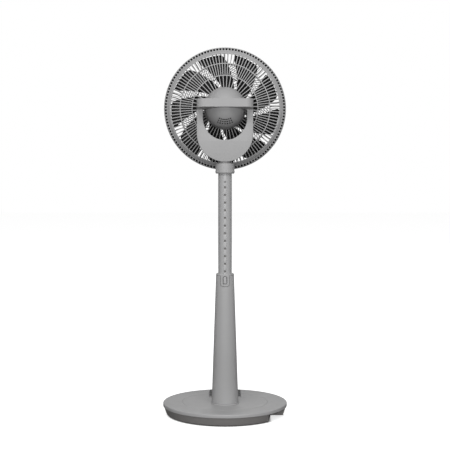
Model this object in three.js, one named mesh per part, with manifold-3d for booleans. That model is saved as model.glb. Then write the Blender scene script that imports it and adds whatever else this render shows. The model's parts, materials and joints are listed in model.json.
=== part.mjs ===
// Pedestal fan: a round base, a tapered column, a sliding pole, a swivelling yoke and a tilting head.
// Millimetres, +Z up. The origin is the centre of the base on the floor, and air leaves towards +Y.
import * as THREE from 'three';
import { mergeVertices } from 'three/addons/utils/BufferGeometryUtils.js';
import Module from 'manifold-3d';

const wasm = await Module();
wasm.setup();

// ---------------------------------------------------------------- driving dimensions
const GAP = 0.3; // clearance between neighbouring pieces
const WALL = 2.5; // wall of the moulded shells
const BASE_RADIUS = 170;
const MAST_Y = -22; // column, pole and swivel axis, behind the base centre
const MAST_Z = 2.7; // level above the floor that heights in the mast are measured from
const DECK_Z = 32; // top face of the base, in the mast's heights
const BASE_TOP = MAST_Z + DECK_Z;
const COLUMN_FOOT_RADIUS = 36.4;
const COLUMN_TOP_RADIUS = 24.4;
const COLUMN_FOOT_Z = DECK_Z + 3;
const COLUMN_TOP_Z = 382.5;
const POLE_RADIUS = 18.4;
const POLE_WALL = 1.6;
const POLE_BOTTOM_Z = 300;
const POLE_TOP_Z = 676;
const LATCH_PITCH = 20.64; // spacing of the height holes
const LATCH_HOLES = 14;
const FIRST_HOLE_Z = 621;
const LATCH_Z = FIRST_HOLE_Z - (LATCH_HOLES - 1) * LATCH_PITCH; // the hole that the latch pin sits in
const NECK_BOTTOM_Z = 658;
const NECK_TOP_Z = 686;
const NECK_RADIUS = 26;
const YOKE_RADIUS = 75.4; // half width of the yoke, and its round lower end
const YOKE_BOTTOM_Z = 690;
const YOKE_TOP_Z = 857;
const YOKE_OPENING = 59; // half width of the yoke's opening
const OPENING_BOTTOM_Z = 748;
const YOKE_DEPTH = 56;
const FAN_AXIS_Z = 836; // fan axis and tilt axis cross here
const DOME_RADIUS = 55;
const DOME_CENTRE = 8; // from the tilt axis forward to the widest turn of the dome
const DOME_LENGTH = 65; // from there back to the dome's crown
const SLEEVE_RADIUS = 58; // front end of the motor housing
const HEAD_RADIUS = 168.8;
const GRILLE_REAR = 60; // from the tilt axis forward to the rear grille
const GRILLE_SPLIT = 94; // from the tilt axis forward to the seam of the two grilles
const GRILLE_FRONT = 140; // from the tilt axis forward to the front of the cage
const BLADE_COUNT = 9;
const BLADE_TIP = 150;
const HUB_RADIUS = 42;

// ---------------------------------------------------------------- geometry helpers
const radians = THREE.MathUtils.degToRad;
const polar = (radius, angle) => new THREE.Vector2(radius * Math.cos(angle), radius * Math.sin(angle));

// One vertex per corner, no flat triangles, faces pointing out.
function closed(geometry) {
  geometry.deleteAttribute('normal');
  geometry.deleteAttribute('uv');
  const merged = mergeVertices(geometry, 1e-4);
  const corner = (i) => new THREE.Vector3().fromBufferAttribute(merged.attributes.position, i);
  const source = merged.index.array;
  const faces = [];
  let volume = 0;
  for (let i = 0; i < source.length; i += 3) {
    const [a, b, c] = [source[i], source[i + 1], source[i + 2]];
    if (a === b || b === c || c === a) continue;
    faces.push([a, b, c]);
    volume += corner(a).dot(corner(b).cross(corner(c)));
  }
  const outward = volume > 0 ? faces : faces.map(([a, b, c]) => [a, c, b]);
  merged.setIndex(outward.flat());
  return merged;
}

function toSolid(geometry) {
  const shape = closed(geometry);
  return new wasm.Manifold(new wasm.Mesh({
    numProp: 3,
    vertProperties: Float32Array.from(shape.attributes.position.array),
    triVerts: Uint32Array.from(shape.index.array),
  }));
}

function toGeometry(solid) {
  const mesh = solid.getMesh();
  const geometry = new THREE.BufferGeometry();
  geometry.setAttribute('position', new THREE.BufferAttribute(mesh.vertProperties, 3));
  geometry.setIndex(Array.from(mesh.triVerts));
  return geometry;
}

const cut = (body, ...tools) =>
  toGeometry(tools.reduce((left, tool) => left.subtract(toSolid(tool)), toSolid(body)));
const join = (first, ...others) =>
  toGeometry(others.reduce((sum, body) => sum.add(toSolid(body)), toSolid(first)));
const common = (first, second) => toGeometry(toSolid(first).intersect(toSolid(second)));

const outline = (points) => new THREE.Shape(points.map(([x, y]) => new THREE.Vector2(x, y)));

// Turned about Z from [radius, height] points.
function turned(profile, segments = 28) {
  const points = [...profile, profile[0]].map(([radius, height]) => new THREE.Vector2(radius, height));
  return closed(new THREE.LatheGeometry(points, segments).rotateX(Math.PI / 2));
}

// Turned about Y from [radius, distance forward] points.
function turnedForward(profile, segments = 24) {
  const points = [...profile, profile[0]].map(([radius, forward]) => new THREE.Vector2(radius, forward));
  return closed(new THREE.LatheGeometry(points, segments));
}

// An outline in X and Y, raised from z0 to z1.
function slab(shape, z0, z1, curveSegments = 12) {
  const geometry = new THREE.ExtrudeGeometry(shape, { depth: z1 - z0, bevelEnabled: false, curveSegments });
  return geometry.translate(0, 0, z0);
}

// An outline in X and Z as seen from behind the fan, running forward from y0 to y1.
function panel(shape, y0, y1, curveSegments = 12) {
  const geometry = new THREE.ExtrudeGeometry(shape, { depth: y1 - y0, bevelEnabled: false, curveSegments });
  return geometry.rotateX(Math.PI / 2).translate(0, y1, 0);
}

function block([x0, x1], [y0, y1], [z0, z1]) {
  const geometry = new THREE.BoxGeometry(x1 - x0, y1 - y0, z1 - z0);
  return geometry.translate((x0 + x1) / 2, (y0 + y1) / 2, (z0 + z1) / 2);
}

const ring = (inner, outer, z0, z1, segments = 24) =>
  turned([[inner, z0], [outer, z0], [outer, z1], [inner, z1]], segments);

const ringForward = (inner, outer, y0, y1, segments = 24) =>
  turnedForward([[inner, y0], [outer, y0], [outer, y1], [inner, y1]], segments);

const rod = (radius, z0, z1, segments = 24) =>
  new THREE.CylinderGeometry(radius, radius, z1 - z0, segments)
    .rotateX(Math.PI / 2)
    .translate(0, 0, (z0 + z1) / 2);

const rodForward = (radius, y0, y1, segments = 24) =>
  new THREE.CylinderGeometry(radius, radius, y1 - y0, segments).translate(0, (y0 + y1) / 2, 0);

const rodAcross = (radius, x0, x1, segments = 16) =>
  new THREE.CylinderGeometry(radius, radius, x1 - x0, segments)
    .rotateZ(Math.PI / 2)
    .translate((x0 + x1) / 2, 0, 0);

// ---------------------------------------------------------------- finishes
const finish = (color, roughness, metalness = 0) =>
  new THREE.MeshStandardMaterial({ color, roughness, metalness });

const greyPlastic = finish(0xa4a5a7, 0.5);
const rimPlastic = finish(0x74757a, 0.55);
const blackPlastic = finish(0x1b1c1f, 0.45);
const panelGlass = finish(0x0c0d0f, 0.15);
const poleMetal = finish(0x9d9ea1, 0.38, 0.3);
const steel = finish(0x8d9095, 0.35, 0.9);
const castIron = finish(0x3f4144, 0.75, 0.6);
const aluminium = finish(0xb4b7ba, 0.4, 0.9);
const copper = finish(0xb06a3a, 0.4, 0.8);
const rubber = finish(0x2a2b2d, 0.85);
const circuitBoard = finish(0x1f5a3a, 0.6);
const whiteNylon = finish(0xd8d8d2, 0.5);
const leadJacket = finish(0x232426, 0.6);

const fan = new THREE.Group();
const mast = new THREE.Group();
mast.position.set(0, MAST_Y, MAST_Z);
const head = new THREE.Group();
head.position.set(0, MAST_Y, MAST_Z + FAN_AXIS_Z);
fan.add(mast, head);

function piece(parent, name, geometry, material, [x, y, z] = [0, 0, 0]) {
  const mesh = new THREE.Mesh(closed(geometry), material);
  mesh.name = name;
  mesh.position.set(x, y, z);
  parent.add(mesh);
}

// ---------------------------------------------------------------- base
// The plug pocket: a wedge cut into the rim behind and to the right of the centre.
const POCKET_FRONT_Y = -29;
const POCKET_INNER_X = 124;
const POCKET_SLANT = 0.0986; // how far the inner wall leans in X for each millimetre of Y
const OUTSIDE = 200;
const COVER_UNDERSIDE = BASE_TOP - WALL;
const SKIRT_TOP = BASE_TOP - 10;
const SKIRT_BOTTOM = 2;
const FLOOR_TOP = 4.5;
const BASE_SIDES = 48;
const BASE_EDGE = 4.5; // rounding of the cover's rim
const GROOVE_RADIUS = 117; // fine round groove in the deck
const COLUMN_HOLE_RADIUS = 27; // hole in the deck that the guide tube passes through
const PLATE_EDGE = 112.5; // bottom plate
const INLET_PLACE = [139, 0, 13];

function pocketOutline(wall) {
  const rearY = -140;
  const frontY = POCKET_FRONT_Y + wall;
  const innerX = (y) => POCKET_INNER_X - wall + (y - POCKET_FRONT_Y) * POCKET_SLANT;
  return outline([[innerX(rearY), rearY], [OUTSIDE, rearY], [OUTSIDE, frontY], [innerX(frontY), frontY]]);
}

function baseTopCover() {
  const steps = 3;
  const arc = [];
  for (let i = 0; i <= steps; i++) {
    const corner = polar(BASE_EDGE, (i / steps) * Math.PI / 2);
    arc.push([BASE_RADIUS - BASE_EDGE + corner.x, BASE_TOP - BASE_EDGE + corner.y]);
  }
  const cover = turned([
    [0, COVER_UNDERSIDE], [BASE_RADIUS - 6.5, COVER_UNDERSIDE], [BASE_RADIUS - 2.8, COVER_UNDERSIDE - 3],
    [BASE_RADIUS - 2.8, SKIRT_TOP + GAP], [BASE_RADIUS, SKIRT_TOP + GAP], ...arc,
    [GROOVE_RADIUS + 0.9, BASE_TOP], [GROOVE_RADIUS, BASE_TOP - 0.8], [GROOVE_RADIUS - 0.9, BASE_TOP],
    [0, BASE_TOP],
  ], BASE_SIDES);
  return cut(cover, rod(COLUMN_HOLE_RADIUS, 0, 40).translate(0, MAST_Y, 0));
}

function baseSkirt() {
  const skirt = turned([
    [PLATE_EDGE + 0.5, SKIRT_BOTTOM], [158.6, SKIRT_BOTTOM], [161, FLOOR_TOP], [168.2, SKIRT_TOP],
    [165.4, SKIRT_TOP], [158.2, FLOOR_TOP], [PLATE_EDGE + 0.5, FLOOR_TOP],
  ], BASE_SIDES);
  const pocketWalls = common(
    slab(pocketOutline(WALL), SKIRT_BOTTOM, COVER_UNDERSIDE - GAP), rod(161.5, 0, 60, BASE_SIDES));
  const inletHole = rodForward(5.8, -32, -20, 16).translate(...INLET_PLACE);
  return cut(join(skirt, pocketWalls), slab(pocketOutline(0), -1, 60), inletHole);
}

piece(fan, 'base_top_cover', baseTopCover(), greyPlastic);
piece(fan, 'base_skirt', baseSkirt(), rimPlastic);
const baseWeight = cut(rod(104, 8, 18, BASE_SIDES), rod(22, 0, 30).translate(0, MAST_Y, 0));
piece(fan, 'base_bottom_plate', rod(PLATE_EDGE, SKIRT_BOTTOM, FLOOR_TOP, BASE_SIDES), blackPlastic);
piece(fan, 'base_weight', baseWeight, castIron);

const FOOT_COUNT = 5;
const FOOT_CIRCLE = 140;
for (let i = 0; i < FOOT_COUNT; i++) {
  const place = polar(FOOT_CIRCLE, radians(15 + (i * 360) / FOOT_COUNT));
  piece(fan, `base_foot_${i + 1}`, rod(9, 0, SKIRT_BOTTOM - GAP, 20), rubber, [place.x, place.y, 0]);
}

const SCREW_COUNT = 3;
const SCREW_CIRCLE = 106;
for (let i = 0; i < SCREW_COUNT; i++) {
  const place = polar(SCREW_CIRCLE, radians(90 + (i * 360) / SCREW_COUNT));
  piece(fan, `base_screw_${i + 1}`, rod(3.2, 0.2, SKIRT_BOTTOM - GAP, 12), steel, [place.x, place.y, 0]);
}

const dcInlet = cut(rodForward(5.5, -32, -16, 16), rodForward(3.2, -33, -22, 16));
piece(fan, 'dc_inlet', dcInlet, blackPlastic, INLET_PLACE);

// Touch console on the front of the base.
const CONSOLE_HALF = 45;
const CONSOLE_REAR = 55;
const CONSOLE_FRONT = 148;
const CONSOLE_FRAME = 3.2;

function roundedRectangle(half, y0, y1, corner) {
  const shape = new THREE.Shape();
  shape.moveTo(-half + corner, y0);
  shape.lineTo(half - corner, y0);
  shape.absarc(half - corner, y0 + corner, corner, -Math.PI / 2, 0);
  shape.absarc(half - corner, y1 - corner, corner, 0, Math.PI / 2);
  shape.absarc(-half + corner, y1 - corner, corner, Math.PI / 2, Math.PI);
  shape.absarc(-half + corner, y0 + corner, corner, Math.PI, Math.PI * 1.5);
  return shape;
}

const consoleShape = (inset, corner) => roundedRectangle(
  CONSOLE_HALF - inset, CONSOLE_REAR + inset, CONSOLE_FRONT - inset, corner);
const bezelShape = consoleShape(0, 8);
bezelShape.holes.push(consoleShape(CONSOLE_FRAME, 5));
const glassShape = consoleShape(CONSOLE_FRAME + GAP, 4.7);
piece(fan, 'console_bezel', slab(bezelShape, BASE_TOP + GAP, BASE_TOP + 2.4, 3), greyPlastic);
piece(fan, 'touch_panel', slab(glassShape, BASE_TOP + GAP, BASE_TOP + 2.8, 3), panelGlass);
piece(fan, 'control_board', block([-38, 38], [62, 140], [BASE_TOP - 10, BASE_TOP - 8.4]), circuitBoard);

// ---------------------------------------------------------------- column
const columnRadius = (z) => THREE.MathUtils.mapLinear(
  z, COLUMN_FOOT_Z, COLUMN_TOP_Z, COLUMN_FOOT_RADIUS, COLUMN_TOP_RADIUS);

const BUTTON_ARCH_Z = 376.4; // centre of the button's round top

// Opening for the height button, seen from behind: straight sides and a round top.
function buttonOutline(half, z0, archZ) {
  const shape = new THREE.Shape();
  shape.moveTo(-half, z0);
  shape.lineTo(half, z0);
  shape.absarc(0, archZ, half, 0, Math.PI);
  return shape;
}

function columnShell() {
  const shell = turned([
    [COLUMN_FOOT_RADIUS - WALL, COLUMN_FOOT_Z], [COLUMN_FOOT_RADIUS, COLUMN_FOOT_Z],
    [COLUMN_TOP_RADIUS, COLUMN_TOP_Z], [COLUMN_TOP_RADIUS - WALL, COLUMN_TOP_Z],
  ]);
  return cut(shell, block([-6.6, 6.6], [-40, -10], [356, COLUMN_TOP_Z + 1]));
}

// The button frame is a raised tab that follows the column: a flat top and rounded lower corners.
function buttonFrame() {
  const [half, corner] = [12, 6.5];
  const [low, top] = [355.2, 386];
  const shape = new THREE.Shape();
  shape.moveTo(half, top);
  shape.lineTo(-half, top);
  shape.absarc(-half + corner, low + corner, corner, Math.PI, Math.PI * 1.5);
  shape.absarc(half - corner, low + corner, corner, -Math.PI / 2, 0);
  shape.holes.push(buttonOutline(6, 360, BUTTON_ARCH_Z));
  const skin = (offset, z) => [columnRadius(z) + offset, z];
  const shell = turned([skin(GAP, 340), skin(2, 340), skin(2, 400), skin(GAP, 400)], 48);
  return common(panel(shape, -40, -8, 6), shell);
}

piece(mast, 'column_foot_ring', turned([
  [28, DECK_Z + GAP], [38.4, DECK_Z + GAP], [38.4, DECK_Z + 1], [37.2, DECK_Z + 2.6], [28, DECK_Z + 2.6],
]), greyPlastic);
piece(mast, 'column_shell', columnShell(), greyPlastic);
piece(mast, 'column_collar', turned([
  [21, COLUMN_TOP_Z + GAP], [COLUMN_TOP_RADIUS - 0.1, COLUMN_TOP_Z + GAP], [COLUMN_TOP_RADIUS - 0.2, 387],
  [COLUMN_TOP_RADIUS - 1.2, 388], [21, 388],
]), greyPlastic);
piece(mast, 'guide_tube', ring(POLE_RADIUS + 0.8, 21, 7, 340), steel);
piece(mast, 'pole_bush', ring(POLE_RADIUS + 0.35, 20.7, COLUMN_TOP_Z + 0.5, 387.4), whiteNylon);
piece(mast, 'button_frame', buttonFrame(), greyPlastic);

// The button rocks on a pin: its top goes in, and its tail draws the latch pin out.
const ROCKER_Y = -23;
const ROCKER_Z = 361;
const BUTTON_TAIL_FRONT = -19.4;
const STRIP_REAR = -17.5; // rear face of the strip with the height holes
const rockerPlace = [0, ROCKER_Y, ROCKER_Z];

function heightButton() {
  const cap = panel(buttonOutline(4.6, 361, BUTTON_ARCH_Z), -27.6, -21.4, 8);
  const web = block([-2.4, 2.4], [-24.5, BUTTON_TAIL_FRONT], [358.4, 362.6]);
  const tail = block([-3.6, 3.6], [-21.2, BUTTON_TAIL_FRONT], [350.3, 360]);
  const springRoom = block([2.5, 7], [-25.3, -20], [358, 363.3]);
  return cut(join(cap, web, tail), rodAcross(1.1, -10, 10).translate(...rockerPlace), springRoom);
}

piece(mast, 'height_button', heightButton(), greyPlastic);
const latchPin = rodForward(1.7, BUTTON_TAIL_FRONT + GAP, STRIP_REAR - GAP, 16);
piece(mast, 'latch_pin', latchPin, steel, [0, 0, LATCH_Z]);
piece(mast, 'button_pivot_pin', rodAcross(0.8, -5.9, 5.9, 12), blackPlastic, rockerPlace);
const springRing = ring(1.05, 1.6, 2.7, 5.2, 16).rotateY(Math.PI / 2);
piece(mast, 'button_spring', springRing, steel, rockerPlace);

// ---------------------------------------------------------------- pole
const CHANNEL_HALF = 4.75;
const poleTube = ring(POLE_RADIUS - POLE_WALL, POLE_RADIUS, POLE_BOTTOM_Z, POLE_TOP_Z, 32);
const channel = block([-CHANNEL_HALF, CHANNEL_HALF], [-30, -10], [POLE_BOTTOM_Z - 1, POLE_TOP_Z + 1]);
piece(mast, 'pole', cut(poleTube, channel), poleMetal);

function latchStrip() {
  const half = CHANNEL_HALF - GAP;
  const hole = 2.75;
  const [low, top] = [POLE_BOTTOM_Z + 2, POLE_TOP_Z - 2];
  const square = (z) => [[-hole, z - hole], [hole, z - hole], [hole, z + hole], [-hole, z + hole]];
  const shape = outline([[-half, low], [half, low], [half, top], [-half, top]]);
  for (let i = 0; i < LATCH_HOLES; i++) {
    shape.holes.push(outline(square(FIRST_HOLE_Z - i * LATCH_PITCH)));
  }
  return panel(shape, STRIP_REAR, STRIP_REAR + 1.5);
}

piece(mast, 'latch_strip', latchStrip(), poleMetal);
piece(mast, 'pole_glide', turned([
  [5, 290], [POLE_RADIUS + 0.5, 290], [POLE_RADIUS + 0.5, POLE_BOTTOM_Z - GAP], [12.9, POLE_BOTTOM_Z - GAP],
  [12.9, 312], [5, 312],
]), whiteNylon);
piece(mast, 'inner_lead', rod(2.5, 292, 698, 12), leadJacket);

// ---------------------------------------------------------------- neck and swivel
const HUB_TOP_Z = 704;
const GEAR_TEETH = 24;
const PINION_TEETH = 8;
const TOOTH_MODULE = 1.75;
const PINION_X = (GEAR_TEETH + PINION_TEETH) * TOOTH_MODULE / 2;

function gear(teeth, bore, z0, z1, turn) {
  const pitchRadius = teeth * TOOTH_MODULE / 2;
  const step = (2 * Math.PI) / teeth;
  const points = [];
  for (let i = 0; i < teeth; i++) {
    for (const [share, offset] of [[-0.27, -2], [-0.1, 1.1], [0.1, 1.1], [0.27, -2]]) {
      points.push(polar(pitchRadius + offset, (i + share) * step + turn));
    }
  }
  const shape = new THREE.Shape(points);
  shape.holes.push(new THREE.Shape(Array.from({ length: 16 }, (_, i) => polar(bore, (i * Math.PI) / 8))));
  return slab(shape, z0, z1);
}

piece(mast, 'neck_collar', turned([
  [POLE_RADIUS + GAP, NECK_BOTTOM_Z], [24.2, NECK_BOTTOM_Z], [25.7, 660.4], [NECK_RADIUS, 662],
  [NECK_RADIUS, 664.6], [25.4, 665.4], [25.4, 684.6], [24.4, NECK_TOP_Z], [15, NECK_TOP_Z], [15, HUB_TOP_Z],
  [12, HUB_TOP_Z], [12, 714], [9.3, 714], [9.3, POLE_TOP_Z + GAP], [POLE_RADIUS + GAP, POLE_TOP_Z + GAP],
]), greyPlastic);
piece(mast, 'pan_gear', gear(GEAR_TEETH, 12.3, HUB_TOP_Z + GAP, 711.3, 0), whiteNylon);
piece(mast, 'thrust_washer', ring(12.4, 18, 711.6, 714, 24), whiteNylon);

function yokeOutline(inset) {
  const outer = YOKE_RADIUS - inset;
  const opening = YOKE_OPENING + inset;
  const top = YOKE_TOP_Z - inset;
  const shape = new THREE.Shape();
  shape.moveTo(outer, top);
  shape.lineTo(opening, top);
  shape.absarc(0, OPENING_BOTTOM_Z + YOKE_OPENING, opening, 0, Math.PI, true);
  shape.lineTo(-opening, top);
  shape.lineTo(-outer, top);
  shape.absarc(0, YOKE_BOTTOM_Z + YOKE_RADIUS, outer, Math.PI, 2 * Math.PI);
  return shape;
}

const YOKE_REAR = -YOKE_DEPTH / 2;
const YOKE_FRONT = YOKE_DEPTH / 2;
const COVER_REAR = YOKE_FRONT - WALL;
const tiltHole = rodAcross(5.4, -65, 65).translate(0, 0, FAN_AXIS_Z);
const swivelHole = rod(16, YOKE_BOTTOM_Z - 5, 700, 32);
const yokeShell = cut(
  panel(yokeOutline(0), YOKE_REAR, COVER_REAR - GAP, 14),
  panel(yokeOutline(WALL), YOKE_REAR + WALL, COVER_REAR + 5, 14),
  tiltHole, swivelHole);
piece(mast, 'yoke_rear_shell', yokeShell, greyPlastic);
piece(mast, 'yoke_front_cover', panel(yokeOutline(0), COVER_REAR, YOKE_FRONT, 14), greyPlastic);

// The band that joins the yoke's arms behind the motor dome.
const BAND_REAR = -70;
const BAND_CLEARANCE = 61.5;

function yokeHandle() {
  const half = YOKE_RADIUS - 0.4;
  const corner = 20;
  const front = YOKE_REAR - GAP;
  const plan = new THREE.Shape();
  plan.moveTo(half, front);
  const biteAngle = Math.asin(front / BAND_CLEARANCE);
  plan.lineTo(BAND_CLEARANCE * Math.cos(biteAngle), front);
  plan.absarc(0, 0, BAND_CLEARANCE, biteAngle, -Math.PI - biteAngle, true);
  plan.lineTo(-half, front);
  plan.absarc(-half + corner, BAND_REAR + corner, corner, Math.PI, Math.PI * 1.5);
  plan.absarc(half - corner, BAND_REAR + corner, corner, -Math.PI / 2, 0);
  const side = outline([
    [front + 1, 829], [BAND_REAR - 1, 835], [BAND_REAR - 1, YOKE_TOP_Z], [front + 1, YOKE_TOP_Z],
  ]);
  const profile = new THREE.ExtrudeGeometry(side, { depth: 160, bevelEnabled: false });
  profile.rotateX(Math.PI / 2).rotateZ(Math.PI / 2).translate(-80, 0, 0);
  return common(slab(plan, 800, 900, 12), profile);
}

piece(mast, 'yoke_handle', yokeHandle(), greyPlastic);

// The swivel plate carries the motor, and its tube turns inside the neck.
const PLATE_BOTTOM = 714.3;
const PLATE_TOP = 717.3;
const swivelPlate = cut(
  join(
    block([-40, 43], [YOKE_REAR + WALL + GAP, COVER_REAR - 2 * GAP], [PLATE_BOTTOM, PLATE_TOP]),
    rod(9, 684, PLATE_TOP)),
  rod(6.3, 600, 800),
  rod(3, 700, 730, 16).translate(PINION_X, 0, 0));
piece(mast, 'swivel_plate', swivelPlate, steel);
const panMotor = join(rod(12.8, PLATE_TOP + GAP, 734, 24), rod(2, 703, 720, 12));
piece(mast, 'pan_motor', panMotor, steel, [PINION_X, 0, 0]);
const pinion = gear(PINION_TEETH, 2.3, HUB_TOP_Z + 0.6, 711, Math.PI / PINION_TEETH);
piece(mast, 'pan_pinion', pinion, whiteNylon, [PINION_X, 0, 0]);

// ---------------------------------------------------------------- tilt pivots and motor housing
const TILT_PIN_RADIUS = 5;

for (const [side, sign] of [['left', -1], ['right', 1]]) {
  const pin = join(rodAcross(TILT_PIN_RADIUS, 44, 68), rodAcross(8, 62, 66));
  const bush = ring(TILT_PIN_RADIUS + GAP, 8.6, 44.5, 49.4, 20).rotateY(Math.PI / 2);
  if (sign < 0) {
    pin.rotateY(Math.PI);
    bush.rotateY(Math.PI);
  }
  piece(head, `tilt_pin_${side}`, pin, steel);
  piece(head, `tilt_bush_${side}`, bush, whiteNylon);
}

const REAR_SHELL_FRONT = DOME_CENTRE + 8;
const VENT_CIRCLES = [34, 39.4, 44.7];
const VENT_COLUMNS = 7;
const VENT_STEP = 8.5; // degrees

function motorHousingRear() {
  const steps = 6;
  const arc = (inset) => Array.from({ length: steps + 1 }, (_, i) => {
    const point = polar(1, (i / steps) * Math.PI / 2);
    return [point.y * (DOME_RADIUS - inset), DOME_CENTRE - point.x * (DOME_LENGTH - inset)];
  });
  const outer = arc(0);
  const inner = arc(WALL).reverse();
  const dome = turnedForward([
    ...outer, [DOME_RADIUS, REAR_SHELL_FRONT], [DOME_RADIUS - WALL, REAR_SHELL_FRONT], ...inner,
  ]);
  const vents = [];
  for (const radius of VENT_CIRCLES) {
    for (let column = 0; column < VENT_COLUMNS; column++) {
      const place = polar(radius, radians(270 + (column - (VENT_COLUMNS - 1) / 2) * VENT_STEP));
      vents.push(block([-1.3, 1.3], [-60, -10], [-1.3, 1.3]).translate(place.x, 0, place.y));
    }
  }
  return cut(dome, ...vents, rodAcross(TILT_PIN_RADIUS + GAP, -70, 70));
}

function motorHousingFront() {
  const bossRadius = 22;
  return turnedForward([
    [DOME_RADIUS, REAR_SHELL_FRONT + GAP], [SLEEVE_RADIUS, GRILLE_REAR - 3],
    [SLEEVE_RADIUS - 2.6, GRILLE_REAR - GAP],
    [bossRadius, GRILLE_REAR - GAP], [bossRadius, 71], [13.4, 71], [13.4, GRILLE_REAR - WALL - GAP],
    [SLEEVE_RADIUS - WALL - 1, GRILLE_REAR - WALL - GAP], [SLEEVE_RADIUS - WALL, GRILLE_REAR - 5],
    [DOME_RADIUS - WALL, REAR_SHELL_FRONT + GAP],
  ]);
}

piece(head, 'motor_housing_rear', motorHousingRear(), greyPlastic);
piece(head, 'motor_housing_front', motorHousingFront(), greyPlastic);

// ---------------------------------------------------------------- motor
const MOUNT_FRONT = GRILLE_REAR - WALL - 2 * GAP;
piece(head, 'motor_mount', turnedForward([
  [11.4, -26], [13.1, -26], [13.1, 53.5], [48, 53.5], [48, MOUNT_FRONT], [13.1, MOUNT_FRONT], [13.1, 66],
  [11.4, 66],
]), aluminium);
piece(head, 'rear_bearing', ringForward(4.3, 11.1, -25, -18, 20), steel);
piece(head, 'front_bearing', ringForward(4.3, 11.1, 58, 65, 20), steel);

function sector(r0, r1, a0, a1, lean = 0) {
  return new THREE.Shape([polar(r0, a0 + lean), polar(r0, a1 + lean), polar(r1, a1), polar(r1, a0)]);
}

function statorCore() {
  const slots = 9;
  const shape = new THREE.Shape(Array.from({ length: 36 }, (_, i) => polar(35.6, radians(i * 10))));
  shape.holes.push(new THREE.Shape(Array.from({ length: 24 }, (_, i) => polar(13.4, radians(i * 15)))));
  for (let i = 0; i < slots; i++) {
    shape.holes.push(sector(20, 32, radians(i * 40 - 12), radians(i * 40 + 12)));
  }
  return panel(shape, -22, -2);
}

piece(head, 'stator_core', statorCore(), steel);
piece(head, 'stator_windings', ringForward(17, 33, -2 + GAP, 6), copper);
piece(head, 'head_board', ringForward(16, 42, 20, 21.6), circuitBoard);
piece(head, 'rotor_cup', turnedForward([
  [4.3, -36], [10, -36], [10, -30.5], [39.5, -30.5], [39.5, -1], [37.2, -1], [37.2, -28], [4.3, -28],
]), steel);
piece(head, 'motor_shaft', rodForward(4, -36, 118, 16), steel);

// ---------------------------------------------------------------- cage
const RIB = 2.6; // width of ribs and rings
const GRILLE_THICKNESS = 2.4;
const RIM_WALL = 2.6;
const CAGE_SIDES = 48;

// A round plate seen from behind, pierced by rows of windows, then bent forward by a height function.
function grille(inner, outer, sides, rows, forward) {
  const round = (radius, count) => new THREE.Shape(
    Array.from({ length: count }, (_, i) => polar(radius, (i / count) * 2 * Math.PI)));
  const shape = round(outer, sides);
  shape.holes.push(round(inner, 24));
  for (const { count, r0, r1, rib, phase, lean } of rows) {
    const step = (2 * Math.PI) / count;
    const half = step / 2 - rib / (r0 + r1);
    for (let i = 0; i < count; i++) {
      const middle = i * step + phase;
      shape.holes.push(sector(r0, r1, middle - half, middle + half, lean));
    }
  }
  const plate = closed(panel(shape, 0, GRILLE_THICKNESS));
  const spots = plate.attributes.position;
  for (let i = 0; i < spots.count; i++) {
    spots.setY(i, spots.getY(i) + forward(Math.hypot(spots.getX(i), spots.getZ(i))));
  }
  return plate;
}

const RIB_COUNT = 30;
const RING_OUTER = 123.6;
const RING_INNER = 90.4;
const PLATE_RADIUS = 57; // closed middle of the rear grille, hidden behind the motor housing
const LIP_RADIUS = 154; // the flat lip of the cage turns forward here
const WINDOW_INNER = 160.8; // row of short slots near the rim
const WINDOW_OUTER = 164.8;

function rearGrilleForward(radius) {
  const [flat, turn, rise] = [62, 159, 12];
  if (radius < flat) return GRILLE_REAR;
  if (radius < LIP_RADIUS) return GRILLE_REAR + rise * ((radius - flat) / (LIP_RADIUS - flat)) ** 2;
  if (radius < turn) return GRILLE_REAR + rise + (radius - LIP_RADIUS) * 1.6;
  return GRILLE_REAR + 20 + (radius - turn) * 0.4;
}

function rearGrille() {
  const half = RIB / 2;
  const even = { count: RIB_COUNT, rib: RIB, phase: Math.PI / 2 + Math.PI / RIB_COUNT, lean: 0 };
  const rows = [
    { ...even, r0: WINDOW_INNER, r1: WINDOW_OUTER, rib: 16 },
    { ...even, r0: RING_OUTER + half, r1: LIP_RADIUS - 0.5 },
    { ...even, r0: RING_INNER + half, r1: RING_OUTER - half },
    { ...even, count: RIB_COUNT / 2, r0: PLATE_RADIUS, r1: RING_INNER - half },
  ];
  const plate = grille(22.5, HEAD_RADIUS - 0.6, CAGE_SIDES, rows, rearGrilleForward);
  const edge = rearGrilleForward(HEAD_RADIUS - 0.6);
  const wall = turnedForward([
    [HEAD_RADIUS - RIM_WALL, edge], [HEAD_RADIUS - 1, edge + 0.6], [HEAD_RADIUS, edge + 2],
    [HEAD_RADIUS, GRILLE_SPLIT], [HEAD_RADIUS - RIM_WALL, GRILLE_SPLIT],
  ], CAGE_SIDES);
  return join(plate, wall);
}

const CAP_RADIUS = 44;

function frontGrilleForward(radius) {
  const share = Math.max(radius - CAP_RADIUS, 0) / (HEAD_RADIUS - CAP_RADIUS);
  return GRILLE_FRONT - GRILLE_THICKNESS - 26 * share ** 2.6;
}

function frontGrille() {
  const even = { count: 24, rib: RIB, phase: 0, lean: 0 };
  const rows = [
    { ...even, r0: 128, r1: 158 },
    { ...even, r0: 88.6, r1: 125.2, lean: radians(19.8) },
    { ...even, count: 12, r0: 49, r1: 86, phase: radians(19.8), lean: radians(32) },
  ];
  const plate = grille(6, HEAD_RADIUS - 0.6, CAGE_SIDES, rows, frontGrilleForward);
  const edge = frontGrilleForward(HEAD_RADIUS - 0.6);
  const wall = turnedForward([
    [HEAD_RADIUS - RIM_WALL, GRILLE_SPLIT + GAP], [HEAD_RADIUS, GRILLE_SPLIT + GAP],
    [HEAD_RADIUS, edge + 0.4], [HEAD_RADIUS - 1, edge + GRILLE_THICKNESS],
    [HEAD_RADIUS - RIM_WALL, edge + GRILLE_THICKNESS + 0.2],
  ], CAGE_SIDES);
  return join(plate, wall);
}

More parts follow.
